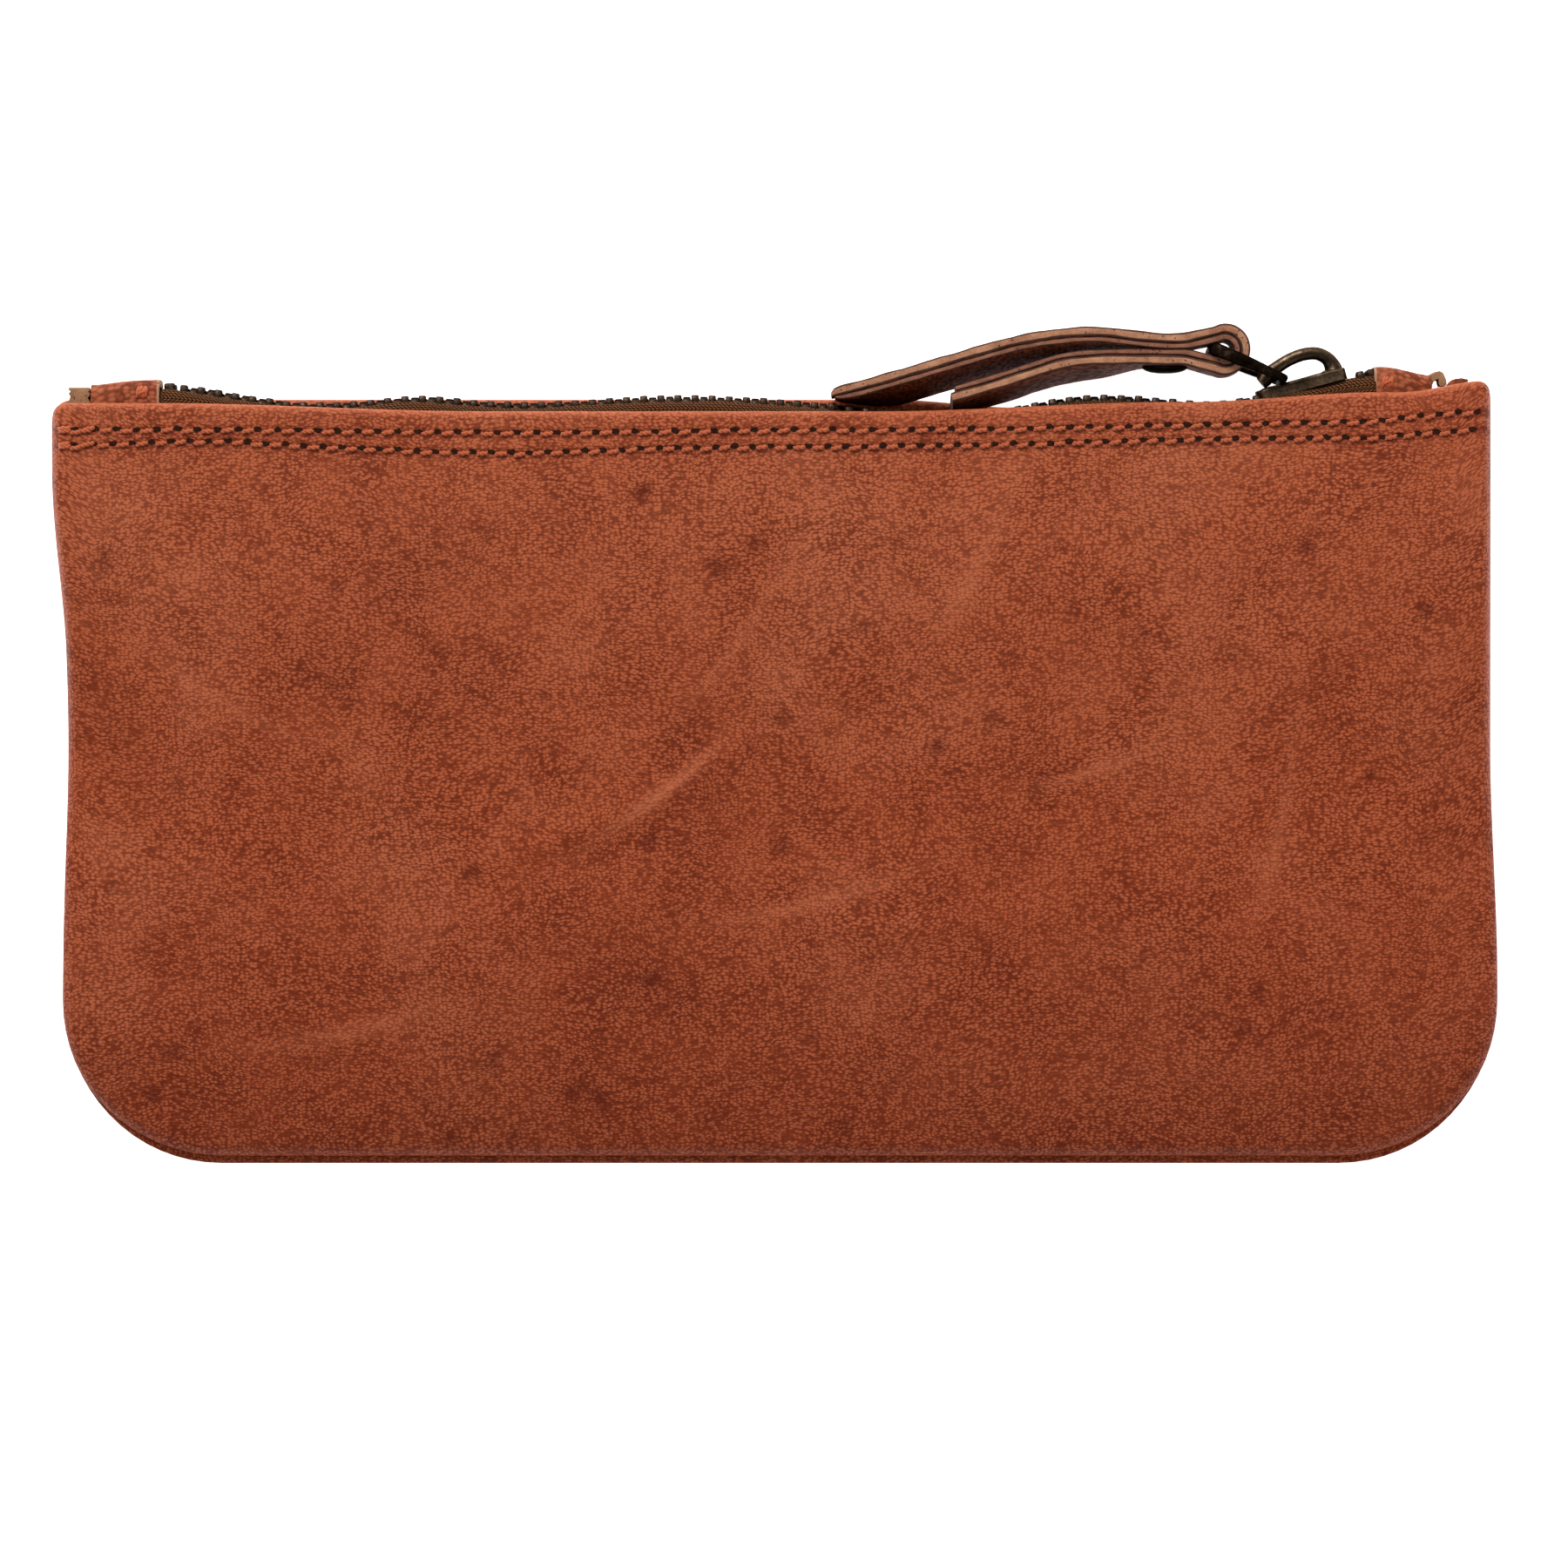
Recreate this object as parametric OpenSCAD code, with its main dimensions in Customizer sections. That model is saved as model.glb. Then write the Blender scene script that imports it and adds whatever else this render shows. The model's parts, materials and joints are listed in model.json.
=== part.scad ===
// Flat leather pouch with a metal zip along its top edge, lying on its back.
// X runs along the zip, Y from the bottom seam towards the zip, Z out of the front wall.
// The origin is the middle of the flat back face. All lengths are in millimetres.

/* [Pouch] */
// Width across the two side seams
pouch_w = 220; // [216:1:224]
// Height of the front wall at mid width
pouch_h = 115; // [112:1:118]
// Thickness of the closed pouch at the zip
zip_depth = 14; // [14:0.1:14.6]
// Radius of the two bottom corners
corner_r = 25; // [20:1:27]
// Thickness of the wall leather
leather = 1.2; // [1.1:0.05:1.2]
// Thickness of the lining cloth
cloth = 0.4; // [0.3:0.05:0.4]

/* [Stitching] */
// Length from one stitch to the next
stitch_pitch = 3; // [2.6:0.1:3.4]
// Distance from the wall's top edge to the upper row
upper_row = 3.8; // [3.4:0.1:4]
// Distance between the two rows
row_gap = 2.8; // [2.4:0.1:3.2]
// Radius of the thread
thread_r = 0.24; // [0.18:0.02:0.26]

/* [Zip] */
// Distance from one tooth to the next in the same row
tooth_pitch = 2.6; // [2.55:0.01:2.8]
// Thickness of the zip tape
tape = 0.5; // [0.4:0.05:0.5]
// Length of the slider
slider_len = 13.8; // [13:0.1:14]

/* [Pull] */
// Distance between the two end bars of the link
link_len = 11.25; // [11:0.05:11.5]
// Width of the leather pull
strap_w = 9; // [7:0.5:9]
// Thickness of the pull's outer ply
strap_ply = 1.5; // [1.2:0.1:1.5]
// Thickness of the pull's inner ply
strap_lining_t = 0.9; // [0.6:0.05:0.9]

/* [Hidden] */
$fn = 32;

half_w = pouch_w / 2;
half_h = pouch_h / 2;
zip_z = zip_depth / 2;          // height of the zip's middle above the back face
seam_z = 4.5;                   // height of the side and bottom seams
parting_gap = 0.15;             // each wall stops this far from the seam plane
reach = half_h + 12;            // the walls are drawn past the zip, then cut along their top edge
hem_y = half_h - 13;            // lower edge of the turned-in hem
seam_allowance = 6;             // the walls' inner flange along the seam

// Each level is [distance in from the seam, height above the seam plane].
front_levels = [[0, 1.6], [2.5, 3.4], [8, 4.8], [20, 6.0], [36, 6.6]];
back_levels = [[0, 1.6], [2, 3.2], [6, 4.3], [10, seam_z]];
// The zip holds the top of each wall out: [half width, height above the seam plane].
band_y = half_h - 19;
front_band = [[half_w - 5, zip_depth - seam_z], [half_w - 2.5, 7.5]];
back_band = [[half_w - 5, seam_z], [half_w - 2.5, 3.6]];

zip_left = -half_w + 15.5;      // edge of the left end tab
zip_right = half_w - 18.8;      // edge of the right end tab
tooth_w = 3;                    // from the zip's middle to the tape side of a tooth
tooth_h = 2.2;
tooth_t = 1.22;
tooth_lap = 0.5;                // how far a tooth passes the zip's middle
chain_half = tooth_h / 2 + 0.3; // half the height of the slider's channel
tape_z = zip_z - 2 * leather - 0.15 - tape / 2; // tape's distance from the zip's middle
bend_r = 0.8;

slider_x = zip_right - 11.2;
slider_tilt = 15.1;
slider_half_w = 4.4;
plate_t = 0.9;
slot_half = tape / 2 + 0.3;     // half the gap that the tape leaves the slider by
plate_top = chain_half + plate_t;
bridge_w = 2.5;

link_bar_r = 0.65;              // bar in the slider's bridge
loop_bar_r = 0.85;              // bar in the leather loop
link_angle = 156.8;
link_bar_at = [-2.7, plate_top + link_bar_r + 0.1]; // in the slider's own frame
link_inner = strap_w / 2 + 0.4;
link_side = 1.4;
pull_a = slider_point(link_bar_at);
pull_b = pull_a + link_len * [cos(link_angle), sin(link_angle)];

rivet_x = pull_b[0] - 7.4;
rivet_hole_r = 1.25;
rivet_r = 1.2;

function smooth(u) = let (v = min(1, max(0, u))) v * v * (3 - 2 * v);
function front_edge(x) = half_h + 1.3 * smooth((-35 - x) / 45) + 4.2 * smooth(x / 130);
function back_edge(x) = half_h + 3 + 0.4 * smooth(x / 130);
function edge(x, front) = front ? front_edge(x) : back_edge(x);
function zip_line(x) = half_h + 0.35 + 2.5 * smooth((zip_left + 18 - x) / 18)
                     + 3.8 * smooth((x - zip_right + 21) / 21);
function zip_slope(x) = atan((zip_line(x + 0.1) - zip_line(x - 0.1)) / 0.2);
function slider_point(p) = [slider_x + p[0] * cos(slider_tilt) - p[1] * sin(slider_tilt),
                            zip_line(slider_x) + p[0] * sin(slider_tilt) + p[1] * cos(slider_tilt)];

// ---- Walls -------------------------------------------------------------------------

// Outline of the pouch, seen from the front, open past the zip.
module outline(inset) {
    r = corner_r - min(inset, corner_r - 1);
    w = half_w - inset;
    b = -half_h + inset;
    translate([-w, b + r]) square([2 * w, reach - b - r]);
    translate([r - w, b]) square([2 * (w - r), r + 1]);
    for (side = [-1, 1]) translate([side * (w - r), b + r]) circle(r);
}

// Solid on one side of the seam plane, with its skin moved in by k.
module half_pouch(levels, band, k) {
    hull() {
        for (l = levels) linear_extrude(max(0.05, l[1] - k)) outline(l[0] + k);
        for (b = band) linear_extrude(max(0.05, b[1] - k))
            translate([k - b[0], band_y]) square([2 * (b[0] - k), reach - band_y]);
    }
}

module front_half(k) { translate([0, 0, seam_z]) half_pouch(front_levels, front_band, k); }
module back_half(k) { translate([0, 0, seam_z]) mirror([0, 0, 1]) half_pouch(back_levels, back_band, k); }

// Points along a wall's top edge moved down by drop, from x = to back to x = -to.
function edge_points(front, to, drop) = [for (i = [0:28]) let (x = to * (1 - i / 14)) [x, edge(x, front) - drop]];

// Everything on the pouch side of a wall's top edge.
module below_edge(front) {
    translate([0, 0, -5]) linear_extrude(30)
        polygon(concat([[-half_w - 1, -half_h - 1], [half_w + 1, -half_h - 1]], edge_points(front, half_w + 1, 0)));
}

module below_y(y) { translate([-half_w, -reach, -10]) cube([pouch_w, reach + y, 40]); }

// Groove that a row of stitches lies in, at that drop below the top edge.
module stitch_groove(front, drop, z) {
    row = edge_points(front, half_w - 8.6, drop);
    translate([0, 0, z]) linear_extrude(2)
        polygon(concat([for (p = row) p + [0, 0.4]],
                       [for (i = [len(row) - 1:-1:0]) row[i] - [0, 0.4]]));
}

module seam_flange(z) {
    translate([0, 0, z]) linear_extrude(1.1) difference() {
        intersection() {
            outline(0.6);
            translate([-half_w, -reach]) square([pouch_w, reach + hem_y]);
        }
        outline(seam_allowance);
    }
}

module front_panel() {
    color("sienna") {
        difference() {
            intersection() { front_half(0); below_edge(true); }
            intersection() { front_half(leather); below_y(hem_y); }
            front_half(2 * leather);
            translate([-half_w - 1, -reach, seam_z - 1]) cube([pouch_w + 2, 2 * reach, 1 + parting_gap]);
            stitch_groove(true, upper_row, zip_depth - 0.55);
            stitch_groove(true, upper_row + row_gap, zip_depth - 0.55);
        }
        seam_flange(seam_z + parting_gap);
    }
}

module back_panel() {
    color("sienna") {
        difference() {
            intersection() { back_half(0); below_edge(false); }
            intersection() { back_half(leather); below_y(hem_y); }
            back_half(2 * leather);
            translate([-half_w - 1, -reach, seam_z - parting_gap]) cube([pouch_w + 2, 2 * reach, 1]);
            stitch_groove(false, upper_row, -1.45);
            stitch_groove(false, upper_row + row_gap, -1.45);
        }
        seam_flange(seam_z - parting_gap - 1.1);
    }
}

// The lining follows the leather, and steps in to clear the hem and the tape.
lining_gap = leather + 0.15;
hem_lining_gap = 2 * leather + 0.15 + tape + 0.1;
lining_top = half_h - 4;

module inside_seam() {
    translate([0, 0, -1]) linear_extrude(zip_depth + 2) outline(seam_allowance + 0.3);
}

module front_lining() {
    color("tan") intersection() {
        difference() {
            union() {
                intersection() { front_half(lining_gap); below_y(hem_y - 0.6); }
                intersection() { front_half(hem_lining_gap); below_y(lining_top); }
            }
            intersection() { front_half(lining_gap + cloth); below_y(hem_y - 1); }
            front_half(hem_lining_gap + cloth);
        }
        inside_seam();
    }
}

module back_lining() {
    color("tan") intersection() {
        difference() {
            union() {
                intersection() { back_half(lining_gap); below_y(hem_y - 0.6); }
                intersection() { back_half(hem_lining_gap); below_y(lining_top); }
            }
            intersection() { back_half(lining_gap + cloth); below_y(hem_y - 1); }
            back_half(hem_lining_gap + cloth);
        }
        inside_seam();
    }
}

// ---- Thread ------------------------------------------------------------------------

module stitch(length) { rotate([0, 90, 0]) cylinder(r = thread_r, h = length, center = true, $fn = 16); }

// A row of stitches whose x places are symmetric about the middle.
module stitch_row(drop, z, front) {
    count = floor((half_w - 10) / stitch_pitch);
    for (i = [-count:count]) {
        x = i * stitch_pitch;
        color("chocolate") translate([x, edge(x, front) - drop, z]) stitch(stitch_pitch * 0.62);
    }
}

module front_upper_stitching() { stitch_row(upper_row, zip_depth - 0.27, true); }
module front_lower_stitching() { stitch_row(upper_row + row_gap, zip_depth - 0.27, true); }
module back_upper_stitching() { stitch_row(upper_row, 0.27, false); }
module back_lower_stitching() { stitch_row(upper_row + row_gap, 0.27, false); }

// Lockstitch that joins the two seam flanges, on the hidden face of the back one.
module seam_stitching() {
    inset = 3.6;
    z = seam_z - parting_gap - 1.1 - 0.3;
    r = corner_r - inset;
    side_count = floor((pouch_h - corner_r - 15) / stitch_pitch);
    bottom_count = floor((half_w - corner_r) / stitch_pitch);
    arc_count = round(r * PI / 2 / stitch_pitch);
    color("chocolate") {
        for (side = [-1, 1], i = [0:side_count])
            translate([side * (half_w - inset), -half_h + corner_r + i * stitch_pitch, z])
                rotate([0, 0, 90]) stitch(stitch_pitch * 0.62);
        for (i = [-bottom_count:bottom_count])
            translate([i * stitch_pitch, -half_h + inset, z]) stitch(stitch_pitch * 0.62);
        for (side = [-1, 1], i = [1:arc_count - 1]) {
            a = 90 * i / arc_count;
            translate([side * (half_w - corner_r + r * cos(a)), -half_h + corner_r - r * sin(a), z])
                rotate([0, 0, side * (90 - a)]) stitch(stitch_pitch * 0.62);
        }
    }
}

// ---- Zip ---------------------------------------------------------------------------

// Closed solid through a list of rings, each with the same even number of points. A ring is the
// section of a thin strip, so its point i lies across from its point n - 1 - i.
module sweep(rings) {
    n = len(rings[0]);
    last = (len(rings) - 1) * n;
    polyhedron(
        points = [for (ring = rings, p = ring) p],
        faces = concat(
            [for (i = [0:n / 2 - 2]) [i, i + 1, n - 2 - i, n - 1 - i]],
            [for (a = [0:n:last - n], j = [0:n - 1], half = [0, 1]) let (k = (j + 1) % n)
                half == 0 ? [a + j, a + n + j, a + n + k] : [a + j, a + n + k, a + k]],
            [for (i = [0:n / 2 - 2]) [last + n - 1 - i, last + n - 2 - i, last + i + 1, last + i]]
        )
    );
}

tape_foot = hem_y + 1;

// Tape section as [distance from the zip's middle, height]. It runs from the teeth at height y,
// bends at distance w, and goes down behind the hem to its foot.
function tape_section(y, w, foot) = concat(
    [[1.2, y + tape / 2]],
    [for (a = [0:30:90]) [w - bend_r + (bend_r + tape / 2) * sin(a), y - bend_r + (bend_r + tape / 2) * cos(a)]],
    [[w + tape / 2, foot], [w - tape / 2, foot]],
    [for (a = [90:-30:0]) [w - bend_r + (bend_r - tape / 2) * sin(a), y - bend_r + (bend_r - tape / 2) * cos(a)]],
    [[1.2, y - tape / 2]]
);

// Each place along the tape is [x, y, w, foot]. The ends are cut short above the lining, and folded
// narrower to go into the leather tabs.
folded_w = 2.5;
folded_foot = lining_top + 0.4;
tape_steps = 88;
tape_from = zip_left + 1;
tape_to = zip_right - 1;
tape_places = concat(
    [for (x = [zip_left - 4.3, zip_left + 0.1]) [x, zip_line(x) - 0.6, folded_w, folded_foot]],
    [[tape_from - 0.2, zip_line(tape_from), tape_z, folded_foot]],
    [for (i = [0:tape_steps]) let (x = tape_from + (tape_to - tape_from) * i / tape_steps)
        [x, zip_line(x), tape_z, tape_foot]],
    [[tape_to + 0.2, zip_line(tape_to), tape_z, folded_foot]],
    [for (x = [zip_right - 0.1, zip_right + 6]) [x, zip_line(x) - 0.6, folded_w, folded_foot]]
);

module tape_half() {
    sweep([for (at = tape_places) [for (p = tape_section(at[1], at[2], at[3])) [at[0], p[1], p[0]]]]);
}

module front_tape() { color("saddlebrown") translate([0, 0, zip_z]) tape_half(); }
module back_tape() { color("saddlebrown") translate([0, 0, zip_z]) mirror([0, 0, 1]) tape_half(); }

// Room for the tape between the legs of a tooth or a stop.
module tape_slot() {
    gap = tape + 0.12;
    translate([-tooth_t, -gap / 2, 1.15]) cube([2 * tooth_t, gap, 2 * tooth_w]);
}

// One tooth, with its nose past the zip's middle and its legs on either side of the tape.
// apart moves it away from the middle.
module tooth(apart = 0) {
    difference() {
        translate([-tooth_t / 2, 0, apart]) {
            translate([0, -tooth_h / 2, 1]) cube([tooth_t, tooth_h, tooth_w - 1]);
            translate([0, -0.8, -tooth_lap]) cube([tooth_t, 1.6, tooth_lap + 1.1]);
        }
        tape_slot();
    }
}

module on_zip(x) { translate([x, zip_line(x), 0]) rotate([0, 0, zip_slope(x)]) children(); }

first_tooth = zip_left + 3.9;
last_meshed = slider_x + 2;
function tooth_places(shift) = [for (x = [first_tooth + shift:tooth_pitch:last_meshed]) x];

// One row, and the parted tooth between the slider and the top stop.
module tooth_row(shift) {
    for (x = tooth_places(shift)) on_zip(x) tooth();
    on_zip(zip_right - 3.2) tooth(tooth_lap + 0.15);
}

module front_teeth() { color("dimgray") translate([0, 0, zip_z]) tooth_row(0); }
module back_teeth() { color("dimgray") translate([0, 0, zip_z]) mirror([0, 0, 1]) tooth_row(tooth_pitch / 2); }

// Metal clip on the edge of one tape.
module top_stop() {
    on_zip(zip_right - 1.8) difference() {
        translate([-0.55, -1.2, 0.5]) cube([1.1, 2.4, 2.6]);
        tape_slot();
    }
}

module front_top_stop() { color("dimgray") translate([0, 0, zip_z]) top_stop(); }
module back_top_stop() { color("dimgray") translate([0, 0, zip_z]) mirror([0, 0, 1]) top_stop(); }

// Metal bracket that holds both tapes together at the left end.
module bottom_stop() {
    color("dimgray") translate([0, 0, zip_z]) on_zip(zip_left + 1.6) {
        for (s = [-1, 1]) translate([-0.8, s * (tape / 2 + 0.45) - 0.35, -2.4]) cube([1.6, 0.7, 4.8]);
        translate([-0.8, -tape / 2 - 0.2, -0.9]) cube([1.6, tape + 0.4, 1.8]);
    }
}

// ---- End tabs ----------------------------------------------------------------------

// Leather saddle over one end of the zip, as its section across the zip.
module saddle_section(top, foot, half) {
    r = 1.4;
    wall = 1.1;
    difference() {
        union() {
            translate([-half, foot]) square([2 * half, top - foot - r]);
            translate([r - half, foot]) square([2 * (half - r), top - foot]);
            for (s = [-1, 1]) translate([s * (half - r), top - r]) circle(r);
        }
        translate([wall - half, foot - 1]) square([2 * (half - wall), top - foot - wall + 1]);
    }
}

module saddle(x, length, top) {
    translate([x + length, 0, zip_z]) rotate([0, -90, 0]) linear_extrude(length)
        saddle_section(top, lining_top + 0.3, tape_z + 0.1);
}

// The saddle's raw tail stands up between the saddle and the corner of the pouch.
module left_end_tab() {
    color("peru") {
        saddle(zip_left - 8.5, 8.5, half_h + 4.6);
        translate([zip_left - 11.8, lining_top + 0.3, zip_z - 2.4]) cube([3.4, 7.3, 1.3]);
    }
}

module right_end_tab() {
    color("peru") {
        saddle(zip_right, 7.5, half_h + 6);
        translate([zip_right + 7.4, lining_top + 0.3, zip_z - 2.4]) cube([3, 8.9, 1.3]);
    }
}

// Bar tack of short threads down the front of a tab.
module tack(x, low, high) {
    for (i = [-1.5:1:1.5])
        translate([x + i * 0.5, low, zip_z + tape_z + 0.1 + 0.2]) rotate([-90, 0, 0])
            cylinder(r = 0.19, h = high - low, $fn = 16);
}

module left_tab_tack() { color("chocolate") tack(zip_left - 2.6, half_h + 1.5, half_h + 3.2); }
module right_tab_tack() { color("chocolate") tack(zip_right + 2.6, half_h + 3.7, half_h + 5.1); }

// ---- Slider ------------------------------------------------------------------------

module slider_frame() {
    translate([slider_x, zip_line(slider_x), zip_z]) rotate([0, 0, slider_tilt]) children();
}

// Plate between two heights over the tape, with its outline given as [along, across].
module slider_plate(low, high, points) {
    translate([0, low, 0]) rotate([-90, 0, 0]) linear_extrude(high - low) polygon(points);
}

function both_sides(points) = concat(points, [for (i = [len(points) - 1:-1:0]) [points[i][0], -points[i][1]]]);

module slider_body() {
    e = slider_len / 2;
    channel = tooth_w + 0.25;
    color("darkolivegreen") slider_frame() {
        difference() {
            union() {
                slider_plate(slot_half, plate_top, both_sides([[-e, 3], [-e + 1.2, 3.9], [1, 3.9],
                    [3.4, slider_half_w], [e - 0.7, slider_half_w], [e, 3.6]]));
                slider_plate(-plate_top + 0.1, -slot_half, both_sides([[-e, 3.2], [-e + 0.6, 3.6],
                    [e - 0.6, 3.6], [e, 3.2]]));
            }
            slider_plate(-chain_half, chain_half, both_sides([[-e - 1, channel], [e + 1, channel]]));
        }
        slider_plate(-chain_half, chain_half, both_sides([[3.2, 0.05], [4.6, 0.4], [e - 0.4, 0.3]]));
    }
}

// Open hook over the slider that the link hangs in.
module slider_bridge() {
    color("darkolivegreen") slider_frame() translate([0, plate_top, 0])
        linear_extrude(bridge_w, center = true) polygon([
            [6.7, 0], [6.5, 1.4], [5.4, 3.1], [3.6, 4.2], [1.6, 4.5], [-0.6, 4.2], [-3, 3.4],
            [-5, 2.4], [-6.1, 1.2], [-5.9, 0.5], [-5.2, 0.4], [-4.2, 1.2], [-3.6, 2.0],
            [-2, 2.6], [0, 3], [1.6, 3], [2.8, 2.6], [3.6, 1.6], [3.8, 0]]);
}

// ---- Pull --------------------------------------------------------------------------

module pull_link() {
    color("darkolivegreen") translate([pull_a[0], pull_a[1], zip_z]) rotate([0, 0, link_angle]) {
        cylinder(r = link_bar_r, h = 2 * link_inner + link_side, center = true);
        translate([link_len, 0, 0]) cylinder(r = loop_bar_r, h = 2 * link_inner + link_side, center = true);
        for (s = [-1, 1]) translate([0, 0, s * (link_inner + link_side / 2)])
            linear_extrude(link_side, center = true) {
                circle(link_bar_r + 0.1);
                translate([link_len, 0]) circle(loop_bar_r + 0.1);
                polygon([[0, -link_bar_r - 0.1], [link_len, -loop_bar_r - 0.1],
                         [link_len, loop_bar_r + 0.1], [0, link_bar_r + 0.1]]);
            }
    }
}

// Line between the pull's two plies, from the upper tail round the loop to the lower tail,
// measured from the loop's bar.
loop_r = 2.8;
strap_line = concat(
    [[-57.4, -6.2], [-53.4, -5.7], [-44.4, -3.6], [-37.4, -1.8], [-32.4, -0.5], [-27.4, 0.8], [-22.4, 1.7],
     [-17.4, 2], [-11, 1.3], [-7.4, 1.15], [-4, 1.2], [-2.2, 1.7]],
    [for (a = [120:-30:-120]) [1 + loop_r * cos(a), 0.15 + loop_r * sin(a)]],
    [[-2.2, -1.3], [-4, -0.9], [-7.4, -0.85], [-11, -0.85], [-18, -0.7], [-22.4, -1.3], [-26.4, -2.4],
     [-32.4, -4.1], [-37.4, -5.4], [-40.4, -5.8]]
);

function curve_point(p, q, r, s, t) =
    0.5 * (2 * q + (r - p) * t + (2 * p - 5 * q + 4 * r - s) * t * t + (3 * q - p - 3 * r + s) * t * t * t);
function curve(points, parts) = let (last = len(points) - 1) concat(
    [for (i = [0:last - 1], j = [0:parts - 1])
        curve_point(points[max(i - 1, 0)], points[i], points[i + 1], points[min(i + 2, last)], j / parts)],
    [points[last]]
);
function unit(v) = v / norm(v);
function beside(line, i, d) = let (
    t = unit(line[min(i + 1, len(line) - 1)] - line[max(i - 1, 0)])
) line[i] + d * [-t[1], t[0]];
function ribbon(line, from, to) = concat(
    [for (i = [0:len(line) - 1]) beside(line, i, from)],
    [for (i = [len(line) - 1:-1:0]) beside(line, i, to)]
);

module strap(from, to) {
    difference() {
        translate([pull_b[0], pull_b[1], zip_z]) linear_extrude(strap_w, center = true)
            polygon(ribbon(curve(strap_line, 3), from, to));
        rivet_shank(rivet_hole_r, 8);
    }
}

module rivet_shank(r, length) {
    translate([rivet_x, pull_b[1] + 0.15, zip_z]) rotate([90, 0, 0]) cylinder(r = r, h = length, center = true);
}

module strap_outer() { color("peru") strap(0.01, strap_ply); }
module strap_lining() { color("sienna") strap(-strap_lining_t, -0.01); }

// Rivet through both tails: a domed head below, and a flat cap above.
rivet_low = pull_b[1] - 0.87 - strap_ply - 0.05;
rivet_high = pull_b[1] + 1.17 + strap_ply + 0.1;

module rivet_post() {
    color("darkslategray") {
        translate([rivet_x, rivet_high, zip_z]) rotate([90, 0, 0])
            cylinder(r = rivet_r, h = rivet_high - rivet_low);
        translate([rivet_x, rivet_low, zip_z]) rotate([90, 0, 0]) {
            cylinder(r = 3.4, h = 0.35);
            translate([0, 0, 0.35]) cylinder(r1 = 3.4, r2 = 1.8, h = 0.5);
        }
    }
}

module rivet_cap() {
    color("darkslategray") translate([rivet_x, rivet_high + 0.35, zip_z]) rotate([90, 0, 0])
        cylinder(r = 2.3, h = 0.35);
}

front_panel();
back_panel();
front_lining();
back_lining();
front_upper_stitching();
front_lower_stitching();
back_upper_stitching();
back_lower_stitching();
seam_stitching();
front_tape();
back_tape();
front_teeth();
back_teeth();
front_top_stop();
back_top_stop();
bottom_stop();
left_end_tab();
right_end_tab();
left_tab_tack();
right_tab_tack();
slider_body();
slider_bridge();
pull_link();
strap_outer();
strap_lining();
rivet_post();
rivet_cap();
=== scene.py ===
"""Zippered leather pouch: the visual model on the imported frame.

Shapes are built in millimetres and stored in metres.
"""

import json
import math

import bpy
import numpy as np
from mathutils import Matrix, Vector


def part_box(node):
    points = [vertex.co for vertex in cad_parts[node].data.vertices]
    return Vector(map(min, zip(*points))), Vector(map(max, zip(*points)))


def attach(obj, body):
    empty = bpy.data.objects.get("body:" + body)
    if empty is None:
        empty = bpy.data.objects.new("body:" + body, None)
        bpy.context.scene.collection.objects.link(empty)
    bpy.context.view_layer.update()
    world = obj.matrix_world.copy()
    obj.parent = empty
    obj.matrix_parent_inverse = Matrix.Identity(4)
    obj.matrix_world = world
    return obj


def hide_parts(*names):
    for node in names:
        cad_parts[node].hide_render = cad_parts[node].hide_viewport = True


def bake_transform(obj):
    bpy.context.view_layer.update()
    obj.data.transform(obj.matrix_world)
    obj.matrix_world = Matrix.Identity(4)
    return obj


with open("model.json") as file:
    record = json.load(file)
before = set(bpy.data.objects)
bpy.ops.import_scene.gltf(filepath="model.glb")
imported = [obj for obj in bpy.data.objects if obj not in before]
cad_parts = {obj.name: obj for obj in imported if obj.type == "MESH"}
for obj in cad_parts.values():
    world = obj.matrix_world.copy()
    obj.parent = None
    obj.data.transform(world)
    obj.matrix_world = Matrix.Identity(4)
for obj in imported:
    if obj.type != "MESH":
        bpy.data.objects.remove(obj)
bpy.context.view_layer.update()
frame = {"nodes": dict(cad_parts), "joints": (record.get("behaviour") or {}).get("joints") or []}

MM = 0.001
rng = np.random.default_rng(7)


# ---- Places from the frame ---------------------------------------------------------


def box_mm(node):
    lo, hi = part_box(node)
    return np.array(lo) / MM, np.array(hi) / MM


def joint_place(name):
    joint = next(j for j in frame["joints"] if j["name"] == name)
    return np.array(joint["pos_m"]) / MM


front_lo, front_hi = box_mm("front_panel")
back_lo, back_hi = box_mm("back_panel")
HALF_W = (front_hi[0] - front_lo[0]) / 2
BOTTOM = front_lo[1]
HALF_H = -BOTTOM
SEAM_Z = (front_lo[2] + back_hi[2]) / 2
FRONT_Z = front_hi[2]
ZIP_Z = FRONT_Z / 2
ZIP_LEFT = box_mm("left_end_tab")[1][0]
ZIP_RIGHT = box_mm("right_end_tab")[0][0]
LINK_AT = joint_place("link_swing")
LOOP_AT = joint_place("strap_swing")
SLIDER_TILT = math.radians(15.1)
# The slider's middle, from its link bar.
SLIDER_AT = LINK_AT - np.array([
    -2.7 * math.cos(SLIDER_TILT) - 3.05 * math.sin(SLIDER_TILT),
    -2.7 * math.sin(SLIDER_TILT) + 3.05 * math.cos(SLIDER_TILT), 0])
HEM_Y = HALF_H - 13
CORNER = 24.5


def smooth(u):
    u = np.clip(u, 0, 1)
    return u * u * (3 - 2 * u)


def bump(x, centre, width):
    return np.exp(-(((x - centre) / width) ** 2))


def waves(x, y, size, seed):
    """Smooth noise from -1 to 1, with bumps about that many millimetres across."""
    r = np.random.default_rng(seed)
    total = 0
    for _ in range(7):
        a = r.uniform(0, 2 * math.pi)
        k = r.uniform(0.6, 1.5) * math.pi / size
        total = total + np.sin(k * (x * math.cos(a) + y * math.sin(a)) + r.uniform(0, 6.3))
    return total / 3.2


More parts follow.
